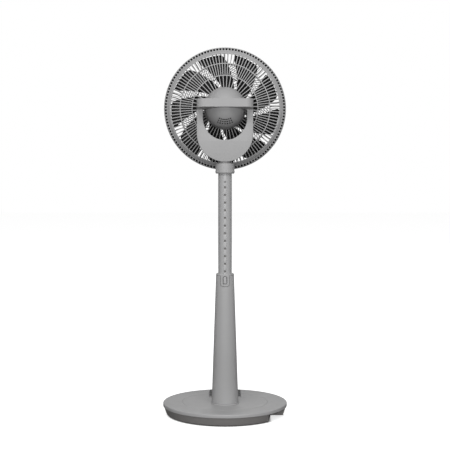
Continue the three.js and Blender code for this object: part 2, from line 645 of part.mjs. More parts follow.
piece(head, 'rear_grille', rearGrille(), greyPlastic);
piece(head, 'front_grille', frontGrille(), rimPlastic);
piece(head, 'grille_nut', ringForward(22.3, 34, GRILLE_REAR + GRILLE_THICKNESS + GAP, 70), blackPlastic);
piece(head, 'front_cap', turnedForward([
  [0, GRILLE_FRONT + GAP], [CAP_RADIUS, GRILLE_FRONT + GAP], [CAP_RADIUS - 1.5, 142], [CAP_RADIUS - 8, 143],
  [0, 143.6],
]), rimPlastic);

// ---------------------------------------------------------------- impeller
const HUB_REAR = 80;
const HUB_FRONT = 118;
const SWEEP = radians(27.3); // how far a blade sweeps for each e-fold of radius
const BLADE_SPAN_HUB = radians(35);
const BLADE_SPAN_TIP = radians(29);
const BLADE_DEPTH = 32;
const BLADE_THICKNESS = 2.2;
const BLADE_REFERENCE = 139;

function blade(turn) {
  const across = 3;
  const along = 5;
  const middle = (HUB_REAR + HUB_FRONT) / 2;
  const spot = (i, j, lift) => {
    const radius = THREE.MathUtils.lerp(HUB_RADIUS - 2, BLADE_TIP, i / along);
    const span = THREE.MathUtils.lerp(BLADE_SPAN_HUB, BLADE_SPAN_TIP, i / along);
    const share = j / across - 0.5;
    const point = polar(radius, turn + SWEEP * Math.log(radius / BLADE_REFERENCE) + share * span);
    const camber = 4 * (0.25 - share * share);
    return [point.x, middle - share * BLADE_DEPTH + camber * 5 + lift, point.y];
  };
  const rows = [];
  for (let i = 0; i <= along; i++) {
    for (let j = 0; j <= across; j++) {
      rows.push(spot(i, j, -BLADE_THICKNESS / 2), spot(i, j, BLADE_THICKNESS / 2));
    }
  }
  const at = (i, j, side) => 2 * (i * (across + 1) + j) + side;
  const faces = [];
  const quad = (a, b, c, d) => faces.push(a, b, c, a, c, d);
  for (let i = 0; i < along; i++) {
    for (let j = 0; j < across; j++) {
      quad(at(i, j, 0), at(i + 1, j, 0), at(i + 1, j + 1, 0), at(i, j + 1, 0));
      quad(at(i, j, 1), at(i, j + 1, 1), at(i + 1, j + 1, 1), at(i + 1, j, 1));
    }
    quad(at(i, 0, 0), at(i, 0, 1), at(i + 1, 0, 1), at(i + 1, 0, 0));
    quad(at(i, across, 0), at(i + 1, across, 0), at(i + 1, across, 1), at(i, across, 1));
  }
  for (let j = 0; j < across; j++) {
    quad(at(0, j, 0), at(0, j + 1, 0), at(0, j + 1, 1), at(0, j, 1));
    quad(at(along, j, 0), at(along, j, 1), at(along, j + 1, 1), at(along, j + 1, 0));
  }
  const geometry = new THREE.BufferGeometry();
  geometry.setAttribute('position', new THREE.Float32BufferAttribute(rows.flat(), 3));
  geometry.setIndex(faces);
  return closed(geometry);
}

function impeller() {
  const hub = turnedForward([
    [4.3, HUB_REAR + 20], [HUB_RADIUS - 3, HUB_REAR + 20], [HUB_RADIUS - 3, HUB_REAR],
    [HUB_RADIUS, HUB_REAR], [HUB_RADIUS, HUB_FRONT - 6], [HUB_RADIUS - 5, HUB_FRONT - 1],
    [20, HUB_FRONT - 1], [20, HUB_FRONT - 8], [4.3, HUB_FRONT - 8],
  ]);
  const turn = (i) => radians(24.5 + (i * 360) / BLADE_COUNT);
  const blades = Array.from({ length: BLADE_COUNT }, (_, i) => blade(turn(i)));
  return join(hub, ...blades);
}

piece(head, 'impeller', impeller(), blackPlastic);
piece(head, 'spinner_nut', ringForward(4.3, 14, HUB_FRONT - 8 + GAP, HUB_FRONT + 3, 12), blackPlastic);

export default fan;
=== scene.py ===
"""Looks of the pedestal fan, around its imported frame. Lengths are in millimetres until a mesh is made."""
import json
import math

import bmesh
import bpy
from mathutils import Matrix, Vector


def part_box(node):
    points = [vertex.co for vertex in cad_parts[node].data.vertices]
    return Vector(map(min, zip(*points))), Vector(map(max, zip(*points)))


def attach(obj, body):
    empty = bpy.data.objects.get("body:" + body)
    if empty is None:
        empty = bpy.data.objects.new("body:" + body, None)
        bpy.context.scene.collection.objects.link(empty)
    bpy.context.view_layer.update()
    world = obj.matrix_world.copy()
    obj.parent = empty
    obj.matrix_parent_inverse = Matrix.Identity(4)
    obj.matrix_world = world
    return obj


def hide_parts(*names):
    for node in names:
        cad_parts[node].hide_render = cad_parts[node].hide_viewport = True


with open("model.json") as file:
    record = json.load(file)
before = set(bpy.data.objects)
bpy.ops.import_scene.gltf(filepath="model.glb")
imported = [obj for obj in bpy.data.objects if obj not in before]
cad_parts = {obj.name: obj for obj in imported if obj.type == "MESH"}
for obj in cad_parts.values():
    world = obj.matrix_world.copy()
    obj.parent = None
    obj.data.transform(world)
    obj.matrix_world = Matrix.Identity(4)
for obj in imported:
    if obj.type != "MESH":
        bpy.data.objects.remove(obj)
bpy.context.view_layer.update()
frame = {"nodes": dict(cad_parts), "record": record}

MM = 0.001
TAU = 2 * math.pi
MIX_A, MIX_B, MIX_RESULT = 6, 7, 2  # the colour sockets of a Mix node
JOINTS = {joint["name"]: joint for joint in frame["record"]["behaviour"]["joints"]}
TILT_Y, TILT_Z = (value / MM for value in JOINTS["head_tilt"]["pos_m"][1:])
MAST_Z = 2.7  # the level that heights in the mast are measured from
MAST = (0, TILT_Y, MAST_Z)
HEAD = (0, TILT_Y, TILT_Z)


def reach(node, axis, side=1):
    """A CAD node's lowest (side 0) or highest (side 1) coordinate along an axis, in millimetres."""
    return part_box(node)[side][axis] / MM


def height(node, side=1):
    """A mast piece's lowest (side 0) or highest (side 1) level, measured from MAST_Z."""
    return reach(node, 2, side) - MAST_Z


def forward(node, side=1):
    """A piece's rearmost (side 0) or foremost (side 1) face, measured forward from the mast's axis."""
    return reach(node, 1, side) - TILT_Y


# ------------------------------------------------------------------ camera, lights and stage
CAMERA_DISTANCE = 3.124
CAMERA_HEIGHT = 0.6987
CAMERA_PITCH = math.radians(3.27)
CAMERA_LENS = 91.76


def make_camera():
    data = bpy.data.cameras.new("camera")
    data.lens = CAMERA_LENS
    data.sensor_width = 36
    camera = bpy.data.objects.new("camera", data)
    camera.location = (0, -CAMERA_DISTANCE, CAMERA_HEIGHT)
    camera.rotation_euler = (math.pi / 2 - CAMERA_PITCH, 0, 0)
    bpy.context.scene.collection.objects.link(camera)
    bpy.context.scene.camera = camera


def area_light(name, place, target, size, power):
    data = bpy.data.lights.new(name, "AREA")
    data.shape = "RECTANGLE"
    data.size, data.size_y = size
    data.energy = power
    light = bpy.data.objects.new(name, data)
    light.location = place
    light.rotation_euler = (Vector(target) - Vector(place)).to_track_quat("-Z", "Y").to_euler()
    bpy.context.scene.collection.objects.link(light)


def make_world(seen=1.0, lighting=0.32):
    """A white studio: the backdrop looks white, and lights the object more softly than it looks."""
    world = bpy.data.worlds.new("studio")
    bpy.context.scene.world = world
    world.use_nodes = True
    nodes, links = world.node_tree.nodes, world.node_tree.links
    background = nodes["Background"]
    path = nodes.new("ShaderNodeLightPath")
    strength = nodes.new("ShaderNodeMapRange")
    strength.inputs["To Min"].default_value = lighting
    strength.inputs["To Max"].default_value = seen
    links.new(path.outputs["Is Camera Ray"], strength.inputs["Value"])
    links.new(strength.outputs["Result"], background.inputs["Strength"])
    background.inputs["Color"].default_value = (1, 1, 1, 1)


def floor_glow(nodes, links, strength=0.67, shadow_under_base=(0.152, 0.161), in_pocket=(0.118, 0.126)):
    """How strongly the floor glows: not under the base, which leaves a painted shadow there, and evenly away
    from it and in the plug pocket.
    """
    place = nodes.new("ShaderNodeTexCoord")
    distance = nodes.new("ShaderNodeVectorMath")
    distance.operation = "LENGTH"
    links.new(place.outputs["Object"], distance.inputs[0])
    split = nodes.new("ShaderNodeSeparateXYZ")
    links.new(place.outputs["Object"], split.inputs[0])
    larger = nodes.new("ShaderNodeMath")
    larger.operation = "MAXIMUM"
    rises = [(distance.outputs["Value"], shadow_under_base), (split.outputs["X"], in_pocket)]
    for i, (source, (start, end)) in enumerate(rises):
        rise = nodes.new("ShaderNodeMapRange")
        rise.inputs["From Min"].default_value = start
        rise.inputs["From Max"].default_value = end
        rise.inputs["To Max"].default_value = strength
        links.new(source, rise.inputs["Value"])
        links.new(rise.outputs["Result"], larger.inputs[i])
    return larger.outputs[0]


def make_floor_material(seen=0.95, lighting=0.15):
    """A white floor that glows to the camera like the backdrop and sends little light up to the object."""
    material = bpy.data.materials.new("floor_white")
    material.use_nodes = True
    nodes, links = material.node_tree.nodes, material.node_tree.links
    shader = nodes["Principled BSDF"]
    shader.inputs["Roughness"].default_value = 0.9
    shader.inputs["Specular IOR Level"].default_value = 0.1
    shader.inputs["Emission Color"].default_value = (1, 1, 1, 1)
    path = nodes.new("ShaderNodeLightPath")
    mix = nodes.new("ShaderNodeMix")
    mix.data_type = "RGBA"
    mix.inputs[MIX_A].default_value = (lighting, lighting, lighting, 1)
    mix.inputs[MIX_B].default_value = (seen, seen, seen, 1)
    links.new(path.outputs["Is Camera Ray"], mix.inputs[0])
    links.new(mix.outputs[MIX_RESULT], shader.inputs["Base Color"])
    gain = nodes.new("ShaderNodeMath")
    gain.operation = "MULTIPLY"
    links.new(path.outputs["Is Camera Ray"], gain.inputs[0])
    links.new(floor_glow(nodes, links), gain.inputs[1])
    links.new(gain.outputs[0], shader.inputs["Emission Strength"])
    return material


def make_floor(half=12):
    corners = [(-half, -half, 0), (half, -half, 0), (half, half, 0), (-half, half, 0)]
    mesh = bpy.data.meshes.new("floor")
    mesh.from_pydata(corners, [], [(0, 1, 2, 3)])
    mesh.materials.append(make_floor_material())
    floor = bpy.data.objects.new("floor", mesh)
    bpy.context.scene.collection.objects.link(floor)


bpy.context.scene.view_settings.view_transform = "Standard"
make_camera()
make_world()
make_floor()
area_light("high_behind_camera", (0, -3.6, 4.0), (0, 0, 0.6), (5.0, 1.6), 136)
area_light("low_behind_camera", (0, -4.2, 0.9), (0, 0, 0.6), (6.0, 0.8), 94)
area_light("far_side", (0, 4.2, 3.6), (0, 0, 0.8), (3.0, 3.0), 40)


# ------------------------------------------------------------------ materials
MOTTLE_SCALE, MOTTLE_DETAIL = 9, 3
GLOSS_SCALE, GLOSS_DETAIL = 45, 4
GLOSS_SWING = 0.05  # how far the roughness wanders either way
GRAIN_DETAIL = 2
NOISE_LOW, NOISE_HIGH = 0.3, 0.7  # the part of a noise's range that is used


def add_noise(nodes, links, vector, scale, detail):
    node = nodes.new("ShaderNodeTexNoise")
    node.inputs["Scale"].default_value = scale
    node.inputs["Detail"].default_value = detail
    links.new(vector, node.inputs["Vector"])
    return node.outputs["Fac"]


def add_spread(nodes, links, source, low, high):
    node = nodes.new("ShaderNodeMapRange")
    node.inputs["From Min"].default_value = NOISE_LOW
    node.inputs["From Max"].default_value = NOISE_HIGH
    node.inputs["To Min"].default_value = low
    node.inputs["To Max"].default_value = high
    links.new(source, node.inputs["Value"])
    return node.outputs["Result"]


def make_material(name, colour, roughness, metallic=0.0, grain=0.5, relief=0.02, mottle=0.03, sheen=0.0,
                  stretch=(1, 1, 1), specular=0.5):
    """A moulded or finished surface: grain in millimetres, its relief in millimetres, and a faint mottle."""
    material = bpy.data.materials.new(name)
    material.use_nodes = True
    nodes, links = material.node_tree.nodes, material.node_tree.links
    shader = nodes["Principled BSDF"]
    shader.inputs["Metallic"].default_value = metallic
    shader.inputs["Sheen Weight"].default_value = sheen
    shader.inputs["Specular IOR Level"].default_value = specular
    place = nodes.new("ShaderNodeTexCoord")
    mapping = nodes.new("ShaderNodeMapping")
    mapping.inputs["Scale"].default_value = stretch
    links.new(place.outputs["Object"], mapping.inputs["Vector"])
    vector = mapping.outputs["Vector"]
    ramp = nodes.new("ShaderNodeMix")
    ramp.data_type = "RGBA"
    ramp.inputs[MIX_A].default_value = (*[c * (1 - mottle) for c in colour], 1)
    ramp.inputs[MIX_B].default_value = (*[min(1, c * (1 + mottle)) for c in colour], 1)
    patches = add_noise(nodes, links, vector, MOTTLE_SCALE, MOTTLE_DETAIL)
    links.new(add_spread(nodes, links, patches, 0, 1), ramp.inputs[0])
    links.new(ramp.outputs[MIX_RESULT], shader.inputs["Base Color"])
    wear = add_noise(nodes, links, vector, GLOSS_SCALE, GLOSS_DETAIL)
    gloss = add_spread(nodes, links, wear, roughness - GLOSS_SWING, roughness + GLOSS_SWING)
    links.new(gloss, shader.inputs["Roughness"])
    bump = nodes.new("ShaderNodeBump")
    bump.inputs["Strength"].default_value = 1
    bump.inputs["Distance"].default_value = relief * MM
    links.new(add_noise(nodes, links, vector, 1 / (grain * MM), GRAIN_DETAIL), bump.inputs["Height"])
    links.new(bump.outputs["Normal"], shader.inputs["Normal"])
    return material


LONGWAYS = (1, 1, 0.1)  # grain drawn out along a rod
FINISHES = {
    "grey_plastic": dict(colour=(0.365, 0.364, 0.366), roughness=0.48, grain=0.55, relief=0.025),
    # rim_plastic is a darker grey; on the front grille's ribs it is painted shade, standing in for the shade
    # inside the cage
    "rim_plastic": dict(colour=(0.215, 0.207, 0.203), roughness=0.55, grain=0.6, relief=0.03),
    "black_plastic": dict(colour=(0.015, 0.0145, 0.015), roughness=0.42, grain=0.5, relief=0.02),
    "panel_glass": dict(colour=(0.006, 0.006, 0.007), roughness=0.3, grain=3, relief=0.004, specular=0.25),
    "pole_metal": dict(colour=(0.42, 0.42, 0.423), roughness=0.44, metallic=0.1, grain=0.3, relief=0.004,
                       stretch=(1, 1, 0.25)),
    "steel": dict(colour=(0.42, 0.43, 0.44), roughness=0.32, metallic=0.95, grain=0.12, relief=0.006,
                  stretch=LONGWAYS),
    "cast_iron": dict(colour=(0.06, 0.06, 0.065), roughness=0.7, metallic=0.5, grain=1.4, relief=0.15,
                      mottle=0.2),
    "aluminium": dict(colour=(0.6, 0.61, 0.62), roughness=0.42, metallic=0.95, grain=0.5, relief=0.02),
    "copper": dict(colour=(0.45, 0.14, 0.05), roughness=0.35, metallic=0.8, grain=0.5, relief=0.1,
                   stretch=(1, 0.1, 1)),
    "rubber": dict(colour=(0.018, 0.018, 0.019), roughness=0.8, grain=0.6, relief=0.03, sheen=0.1,
                   specular=0.2),
    "circuit_board": dict(colour=(0.01, 0.09, 0.045), roughness=0.4, grain=2, relief=0.05, mottle=0.25),
    "white_nylon": dict(colour=(0.7, 0.7, 0.66), roughness=0.45, grain=0.6, relief=0.01),
    "lead_jacket": dict(colour=(0.015, 0.015, 0.016), roughness=0.55, grain=0.7, relief=0.02),
    "print_white": dict(colour=(0.6, 0.61, 0.62), roughness=0.5, grain=0.4, relief=0.004),
}
MATERIALS = {name: make_material(name, **finish) for name, finish in FINISHES.items()}


# ------------------------------------------------------------------ mesh helpers, all in millimetres
def finish_piece(name, verts, faces, slot, body, replaces=(), origin=(0, 0, 0), bevel=0.0, sharp=32,
                 bevel_angle=40, segments=2, material=None):
    """A shown piece from vertices about an origin: smooth faces, true sharp edges and a moulded edge."""
    mesh = bpy.data.meshes.new(name)
    mesh.from_pydata([[(v + o) * MM for v, o in zip(vert, origin)] for vert in verts], [], faces)
    piece = bpy.data.objects.new(name, mesh)
    bpy.context.scene.collection.objects.link(piece)
    clean(mesh, sharp)
    if bevel:
        add_bevel(piece, bevel, bevel_angle, segments)
    declare(piece, slot, body, replaces, material)
    return piece


def clean(mesh, sharp):
    """Merge doubled vertices, turn faces outwards, and shade smooth below an angle in degrees."""
    work = bmesh.new()
    work.from_mesh(mesh)
    bmesh.ops.remove_doubles(work, verts=work.verts, dist=0.002 * MM)
    bmesh.ops.dissolve_degenerate(work, edges=work.edges, dist=0.001 * MM)
    bmesh.ops.recalc_face_normals(work, faces=work.faces)
    limit = math.radians(sharp)
    for edge in work.edges:
        edge.smooth = len(edge.link_faces) == 2 and edge.calc_face_angle(0) < limit
    for face in work.faces:
        face.smooth = True
    work.to_mesh(mesh)
    work.free()


def add_bevel(piece, width, angle, segments):
    modifier = piece.modifiers.new("edge_radius", "BEVEL")
    modifier.width = width * MM
    modifier.segments = segments
    modifier.limit_method = "ANGLE"
    modifier.angle_limit = math.radians(angle)
    modifier.harden_normals = True
    modifier.use_clamp_overlap = True


def declare(piece, slot, body, replaces, material):
    """Give a piece its material and body, and hide the CAD nodes that it stands in for."""
    piece.data.materials.clear()
    piece.data.materials.append(MATERIALS[material or slot])
    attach(piece, body)
    if replaces:
        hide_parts(*replaces)


def rounded(points, radii, steps=5):
    """A closed outline with round corners: one radius for all, or a corner's number mapped to its radius."""
    out = []
    count = len(points)
    for i, (x, y) in enumerate(points):
        radius = radii.get(i, 0) if isinstance(radii, dict) else radii
        if not radius:
            out.append((x, y))
            continue
        here = Vector((x, y))
        before = Vector(points[i - 1]) - here
        after = Vector(points[(i + 1) % count]) - here
        half = before.angle(after) / 2
        run = min(radius / math.tan(half), before.length * 0.49, after.length * 0.49)
        centre = here + (before.normalized() + after.normalized()).normalized() * run / math.cos(half)
        start = here + before.normalized() * run - centre
        end = here + after.normalized() * run - centre
        turn = start.angle_signed(end)
        for k in range(steps + 1):
            angle = -turn * k / steps
            c, s = math.cos(angle), math.sin(angle)
            out.append((centre.x + start.x * c - start.y * s, centre.y + start.x * s + start.y * c))
    return out


def lathe(profile, steps=96, axis="Z"):
    """A closed profile of (radius, level) turned about Z or Y. Its ends may lie on the axis."""
    verts, faces, rings = [], [], []
    for radius, level in profile:
        ring = []
        for k in range(1 if radius < 1e-6 else steps):
            angle = TAU * k / steps
            across, up = radius * math.cos(angle), radius * math.sin(angle)
            ring.append(len(verts))
            verts.append((across, up, level) if axis == "Z" else (across, level, up))
        rings.append(ring)
    for a, b in zip(rings, rings[1:] + rings[:1]):
        if len(a) == 1 and len(b) == 1:
            continue
        for k in range(steps):
            n = (k + 1) % steps
            corners = [a[k % len(a)], a[n % len(a)], b[n % len(b)], b[k % len(b)]]
            faces.append(list(dict.fromkeys(corners)))
    return verts, faces


def rod(radius, low, high, steps, axis="Z"):
    """A plain cylinder."""
    return lathe([(0, low), (radius, low), (radius, high), (0, high)], steps, axis)


def arc(cx, cy, radius, start, end, steps=24):
    """Points along a round arc, from one angle to another in degrees."""
    angles = [math.radians(start + (end - start) * k / steps) for k in range(steps + 1)]
    return [(cx + radius * math.cos(a), cy + radius * math.sin(a)) for a in angles]


def circle(cx, cy, radius, steps=48):
    return arc(cx, cy, radius, 0, 360, steps)[:-1]


def plate(outline, holes, low, high, plane="XZ", bevel=0.0):
    """A flat plate from an outline and its holes, reaching from low to high along Y (XZ) or along Z (XY)."""
    curve = bpy.data.curves.new("plate", "CURVE")
    curve.dimensions = "2D"
    curve.fill_mode = "BOTH"
    curve.extrude = (high - low) / 2 - bevel
    curve.bevel_depth = bevel
    curve.bevel_resolution = 2
    curve.offset = -bevel
    for loop in [outline, *holes]:
        spline = curve.splines.new("POLY")
        spline.points.add(len(loop) - 1)
        for point, (x, y) in zip(spline.points, loop):
            point.co = (x, y, 0, 1)
        spline.use_cyclic_u = True
    holder = bpy.data.objects.new("plate", curve)
    bpy.context.scene.collection.objects.link(holder)
    graph = bpy.context.evaluated_depsgraph_get()
    mesh = bpy.data.meshes.new_from_object(holder.evaluated_get(graph))
    middle = (low + high) / 2
    if plane == "XZ":
        verts = [(v.co.x, middle - v.co.z, v.co.y) for v in mesh.vertices]
    else:
        verts = [(v.co.x, v.co.y, middle + v.co.z) for v in mesh.vertices]
    faces = [list(p.vertices) for p in mesh.polygons]
    bpy.data.objects.remove(holder)
    bpy.data.curves.remove(curve)
    bpy.data.meshes.remove(mesh)
    return verts, faces


def box_shape(x, y, z):
    """A box from its (low, high) pair on each axis."""
    corners = [(a, b, c) for a in x for b in y for c in z]
    return corners, [(0, 1, 3, 2), (4, 6, 7, 5), (0, 4, 5, 1), (2, 3, 7, 6), (0, 2, 6, 4), (1, 5, 7, 3)]


def moved(shape, offset):
    verts, faces = shape
    return [[v + o for v, o in zip(vert, offset)] for vert in verts], faces


def merged(*shapes):
    verts, faces = [], []
    for part_verts, part_faces in shapes:
        start = len(verts)
        verts += list(part_verts)
        faces += [[i + start for i in face] for face in part_faces]
    return verts, faces


def solid_object(shape):
    """A working object for booleans, in millimetres, removed after use."""
    mesh = bpy.data.meshes.new("work")
    mesh.from_pydata([tuple(v) for v in shape[0]], [], shape[1])
    work = bmesh.new()
    work.from_mesh(mesh)
    bmesh.ops.remove_doubles(work, verts=work.verts, dist=0.002)
    bmesh.ops.recalc_face_normals(work, faces=work.faces)
    work.to_mesh(mesh)
    work.free()
    thing = bpy.data.objects.new("work", mesh)
    bpy.context.scene.collection.objects.link(thing)
    return thing


def combined(first, *steps):
    """Exact booleans on shapes: steps are (operation, shape) pairs."""
    base = solid_object(first)
    tools = []
    for operation, shape in steps:
        tool = solid_object(shape)
        tools.append(tool)
        modifier = base.modifiers.new("cut", "BOOLEAN")
        modifier.operation = operation
        modifier.solver = "EXACT"
        modifier.object = tool
    graph = bpy.context.evaluated_depsgraph_get()
    mesh = bpy.data.meshes.new_from_object(base.evaluated_get(graph))
    result = [tuple(v.co) for v in mesh.vertices], [list(p.vertices) for p in mesh.polygons]
    for thing in [base, *tools]:
        bpy.data.objects.remove(thing)
    return result


# ------------------------------------------------------------------ base
BASE_RADIUS = reach("base_top_cover", 0)
BASE_TOP = reach("base_top_cover", 2)
COVER_LOW = reach("base_top_cover", 2, 0)
COVER_LIP, COVER_SLOPE = 2.6, 5  # the cover's wall at its foot, and where its flat underside begins
COVER_ROUND = 3.4
GROOVE_RADIUS, GROOVE_HALF, GROOVE_DEPTH = 117, 1.3, 0.9
WALL = 2.5


def make_base():
    under = BASE_TOP - WALL
    profile = rounded([
        (0, under), (BASE_RADIUS - COVER_SLOPE, under), (BASE_RADIUS - COVER_LIP, COVER_LOW),
        (BASE_RADIUS, COVER_LOW), (BASE_RADIUS, BASE_TOP), (GROOVE_RADIUS + GROOVE_HALF, BASE_TOP),
        (GROOVE_RADIUS, BASE_TOP - GROOVE_DEPTH), (GROOVE_RADIUS - GROOVE_HALF, BASE_TOP), (0, BASE_TOP),
    ], {3: 0.6, 4: COVER_ROUND, 5: 0.35, 7: 0.35}, 6)
    finish_piece("base_shell", *lathe(profile, 192), "grey_plastic", "base", ["base_top_cover"], sharp=40)


SKIRT_INNER, SKIRT_FOOT, SKIRT_RADIUS = 113, 158.6, 168.2
SKIRT_STEP, SKIRT_WALL = 2.6, 2.8
POCKET_FRONT, POCKET_REAR, POCKET_SIDE = -29, -140, 200
POCKET_CORNER = 124
POCKET_SLANT = 0.0986
POCKET_WALL_END = 161.5  # how far out the pocket's walls reach
CUT_LOW, CUT_HIGH = -5, 60
INLET_RADIUS = 5.8
INLET_X, INLET_Z = 139, 13
INLET_REAR, INLET_FRONT = -33, -20


def pocket(wall):
    """The plug pocket's outline, widened by a wall. It runs out past the skirt to the right and the rear."""
    front = POCKET_FRONT + wall
    corner = POCKET_CORNER - wall
    rear_corner = corner + (POCKET_REAR - POCKET_FRONT) * POCKET_SLANT
    front_corner = corner + wall * POCKET_SLANT
    return [(rear_corner, POCKET_REAR), (POCKET_SIDE, POCKET_REAR), (POCKET_SIDE, front),
            (front_corner, front)]


def make_skirt():
    low, floor = reach("base_skirt", 2, 0), reach("base_bottom_plate", 2)
    top = COVER_LOW - 0.3
    skirt = lathe(rounded([
        (SKIRT_INNER, low), (SKIRT_FOOT, low), (SKIRT_FOOT + SKIRT_STEP, floor + 0.4), (SKIRT_RADIUS, top),
        (SKIRT_RADIUS - SKIRT_WALL, top), (SKIRT_FOOT, floor), (SKIRT_INNER, floor),
    ], {1: 2, 2: 4}, 5), 160)
    room = plate(pocket(0), [], CUT_LOW, CUT_HIGH, "XY")
    walls = combined(plate(pocket(WALL), [], low, BASE_TOP - 3, "XY"),
                     ("INTERSECT", rod(POCKET_WALL_END, 0, CUT_HIGH, 96)), ("DIFFERENCE", room))
    inlet = moved(rod(INLET_RADIUS, INLET_REAR, INLET_FRONT, 32, "Y"), (INLET_X, 0, INLET_Z))
    shape = combined(skirt, ("DIFFERENCE", room), ("UNION", walls), ("DIFFERENCE", inlet))
    finish_piece("base_skirt_shell", *shape, "rim_plastic", "base", ["base_skirt"], bevel=0.5)


CONSOLE_FRAME = 1.3
CONSOLE_LOW, CONSOLE_HIGH = [[value / MM for value in corner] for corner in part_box("console_bezel")]
MARK_COLUMNS, MARK_ROWS = (-27, -9, 9, 27), (26, 58)
MARK_OUTER, MARK_INNER = 5.2, 4.8
BAR_HALF, BAR_RISE, BAR_ROW = 2.2, 0.4, 58
PRINT_SUNK, PRINT_PROUD = 0.01, 0.05


def console_loop(inset, corner):
    x, rear, front = CONSOLE_HIGH[0] - inset, CONSOLE_LOW[1] + inset, CONSOLE_HIGH[1] - inset
    return rounded([(-x, rear), (x, rear), (x, front), (-x, front)], corner, 8)


def make_console():
    low, high, top = CONSOLE_LOW[2], CONSOLE_HIGH[2], reach("touch_panel", 2)
    frame_shape = plate(console_loop(0, 8), [console_loop(CONSOLE_FRAME, 5)], low, high, "XY", 0.7)
    finish_piece("console_frame", *frame_shape, "grey_plastic", "base", ["console_bezel"])
    glass = plate(console_loop(CONSOLE_FRAME + 0.2, 4.8), [], low, top, "XY", 0.5)
    finish_piece("console_glass", *glass, "panel_glass", "base", ["touch_panel"])
    prints = []
    for x in MARK_COLUMNS:
        for row in MARK_ROWS:
            y = CONSOLE_LOW[1] + row
            prints.append((circle(x, y, MARK_OUTER), [circle(x, y, MARK_INNER)]))
        left, right = x - BAR_HALF, x + BAR_HALF
        rear, front = CONSOLE_LOW[1] + BAR_ROW - BAR_RISE, CONSOLE_LOW[1] + BAR_ROW + BAR_RISE
        prints.append((rounded([(left, rear), (right, rear), (right, front), (left, front)], 0.3, 2), []))
    marks = [plate(outline, holes, top - PRINT_SUNK, top + PRINT_PROUD, "XY") for outline, holes in prints]
    finish_piece("console_marks", *merged(*marks), "panel_glass", "base", material="print_white")


# ------------------------------------------------------------------ column and pole
COLUMN_LOW, COLUMN_HIGH = height("column_shell", 0), height("column_shell")
COLUMN_FOOT = reach("column_shell", 0)
COLUMN_TOP = reach("column_collar", 0) + 0.1


def column_radius(z):
    share = (z - COLUMN_LOW) / (COLUMN_HIGH - COLUMN_LOW)
    return COLUMN_FOOT + (COLUMN_TOP - COLUMN_FOOT) * share


def button_loop(half, low, arch):
    return [(-half, low), (half, low), *arc(0, arch, half, 0, 180, 24)]


FOOT_BORE = 28
COLLAR_BORE, COLLAR_CROWN = 20.9, 22.4
TAB_CUT = (-40, -8)  # from behind the column to inside its rear wall


def make_column():
    profile = rounded([
        (COLUMN_FOOT - WALL, COLUMN_LOW), (COLUMN_FOOT, COLUMN_LOW), (COLUMN_TOP, COLUMN_HIGH),
        (COLUMN_TOP - WALL, COLUMN_HIGH)], {1: 0.5, 2: 0.4}, 3)
    shell = combined(lathe(profile, 128), ("DIFFERENCE", plate(tab_loop(TAB_GAP), [], *TAB_CUT)))
    finish_piece("column", *shell, "grey_plastic", "base", ["column_shell"], MAST)
    foot = reach("column_foot_ring", 0)
    low, high = height("column_foot_ring", 0), height("column_foot_ring")
    ring = rounded([(FOOT_BORE, low), (foot, low), (foot, low + 0.8), (COLUMN_FOOT + 0.6, high),
                    (FOOT_BORE, high)], {2: 0.6, 3: 0.6}, 4)
    finish_piece("column_foot", *lathe(ring, 128), "grey_plastic", "base", ["column_foot_ring"], MAST)
    low, high = height("column_collar", 0), height("column_collar")
    collar = rounded([(COLLAR_BORE, low), (COLUMN_TOP - 0.1, low), (COLUMN_TOP - 0.2, high - 1.8),
                      (COLLAR_CROWN, high), (COLLAR_BORE, high)], {1: 0.3, 2: 0.7, 3: 0.5}, 4)
    finish_piece("column_top_ring", *lathe(collar, 128), "grey_plastic", "base", ["column_collar"], MAST)


TAB_HALF = 12
TAB_LOW, TAB_HIGH, TAB_CORNER = 355.2, 386, 6.5
TAB_GAP = 0.7  # the shadow line round the tab
TAB_PROUD = 2.3  # how far the tab stands out of the column
SKIN_LOW, SKIN_HIGH = 340, 400  # the stretch of column that the tab is cut from
BUTTON_LOW, BUTTON_ARCH = 361.8, 376.4
BUTTON_HALF = 4.3
BUTTON_GROOVE = 1.6
BUTTON_RAKE = 0.09  # how much the button's face leans into the column towards its top
BUTTON_REAR, BUTTON_FRONT = -27.9, -21.4
SPRING_ROOM = ((2.5, 7), (-25.3, -20), (358, 363.3))
PIN_BORE = ((-10, 10), (-24.1, -21.9), (359.9, 362.1))


def tab_loop(gap):
    """The tab's outline, widened by a gap: a flat top and rounded lower corners."""
    half, low, high = TAB_HALF + gap, TAB_LOW - gap, TAB_HIGH + gap
    return rounded([(half, high), (-half, high), (-half, low), (half, low)],
                   {2: TAB_CORNER + gap, 3: TAB_CORNER + gap}, 12)


def make_button():
    corners = [(-WALL, SKIN_LOW), (TAB_PROUD, SKIN_LOW), (TAB_PROUD, SKIN_HIGH), (-WALL, SKIN_HIGH)]
    skin = lathe([(column_radius(z) + offset, z) for offset, z in corners], 160)
    hole = button_loop(BUTTON_HALF + BUTTON_GROOVE, BUTTON_LOW - BUTTON_GROOVE, BUTTON_ARCH)
    tab = combined(plate(tab_loop(0), [hole], *TAB_CUT), ("INTERSECT", skin))
    finish_piece("button_surround", *tab, "grey_plastic", "base", ["button_frame"], MAST, bevel=0.9,
                 segments=3)
    outline = button_loop(BUTTON_HALF, BUTTON_LOW, BUTTON_ARCH)
    verts, faces = plate(outline, [], BUTTON_REAR, BUTTON_FRONT, "XZ", 0.9)
    middle = (BUTTON_REAR + BUTTON_FRONT) / 2
    raked = [(x, y + (BUTTON_RAKE * (z - BUTTON_LOW) if y < middle else 0), z) for x, y, z in verts]
    cap = combined((raked, faces), ("DIFFERENCE", box_shape(*PIN_BORE)),
                   ("DIFFERENCE", box_shape(*SPRING_ROOM)))
    finish_piece("button_cap", *cap, "grey_plastic", "button", ["height_button"], MAST)


CHANNEL_HALF = 4.75
POLE_WALL = 1.6
CREASE_X, CREASE_DEPTH, CREASE_HALF_TURN = 9, 0.45, 1.6  # a fine crease either side of the channel
POLE_STEPS = 119


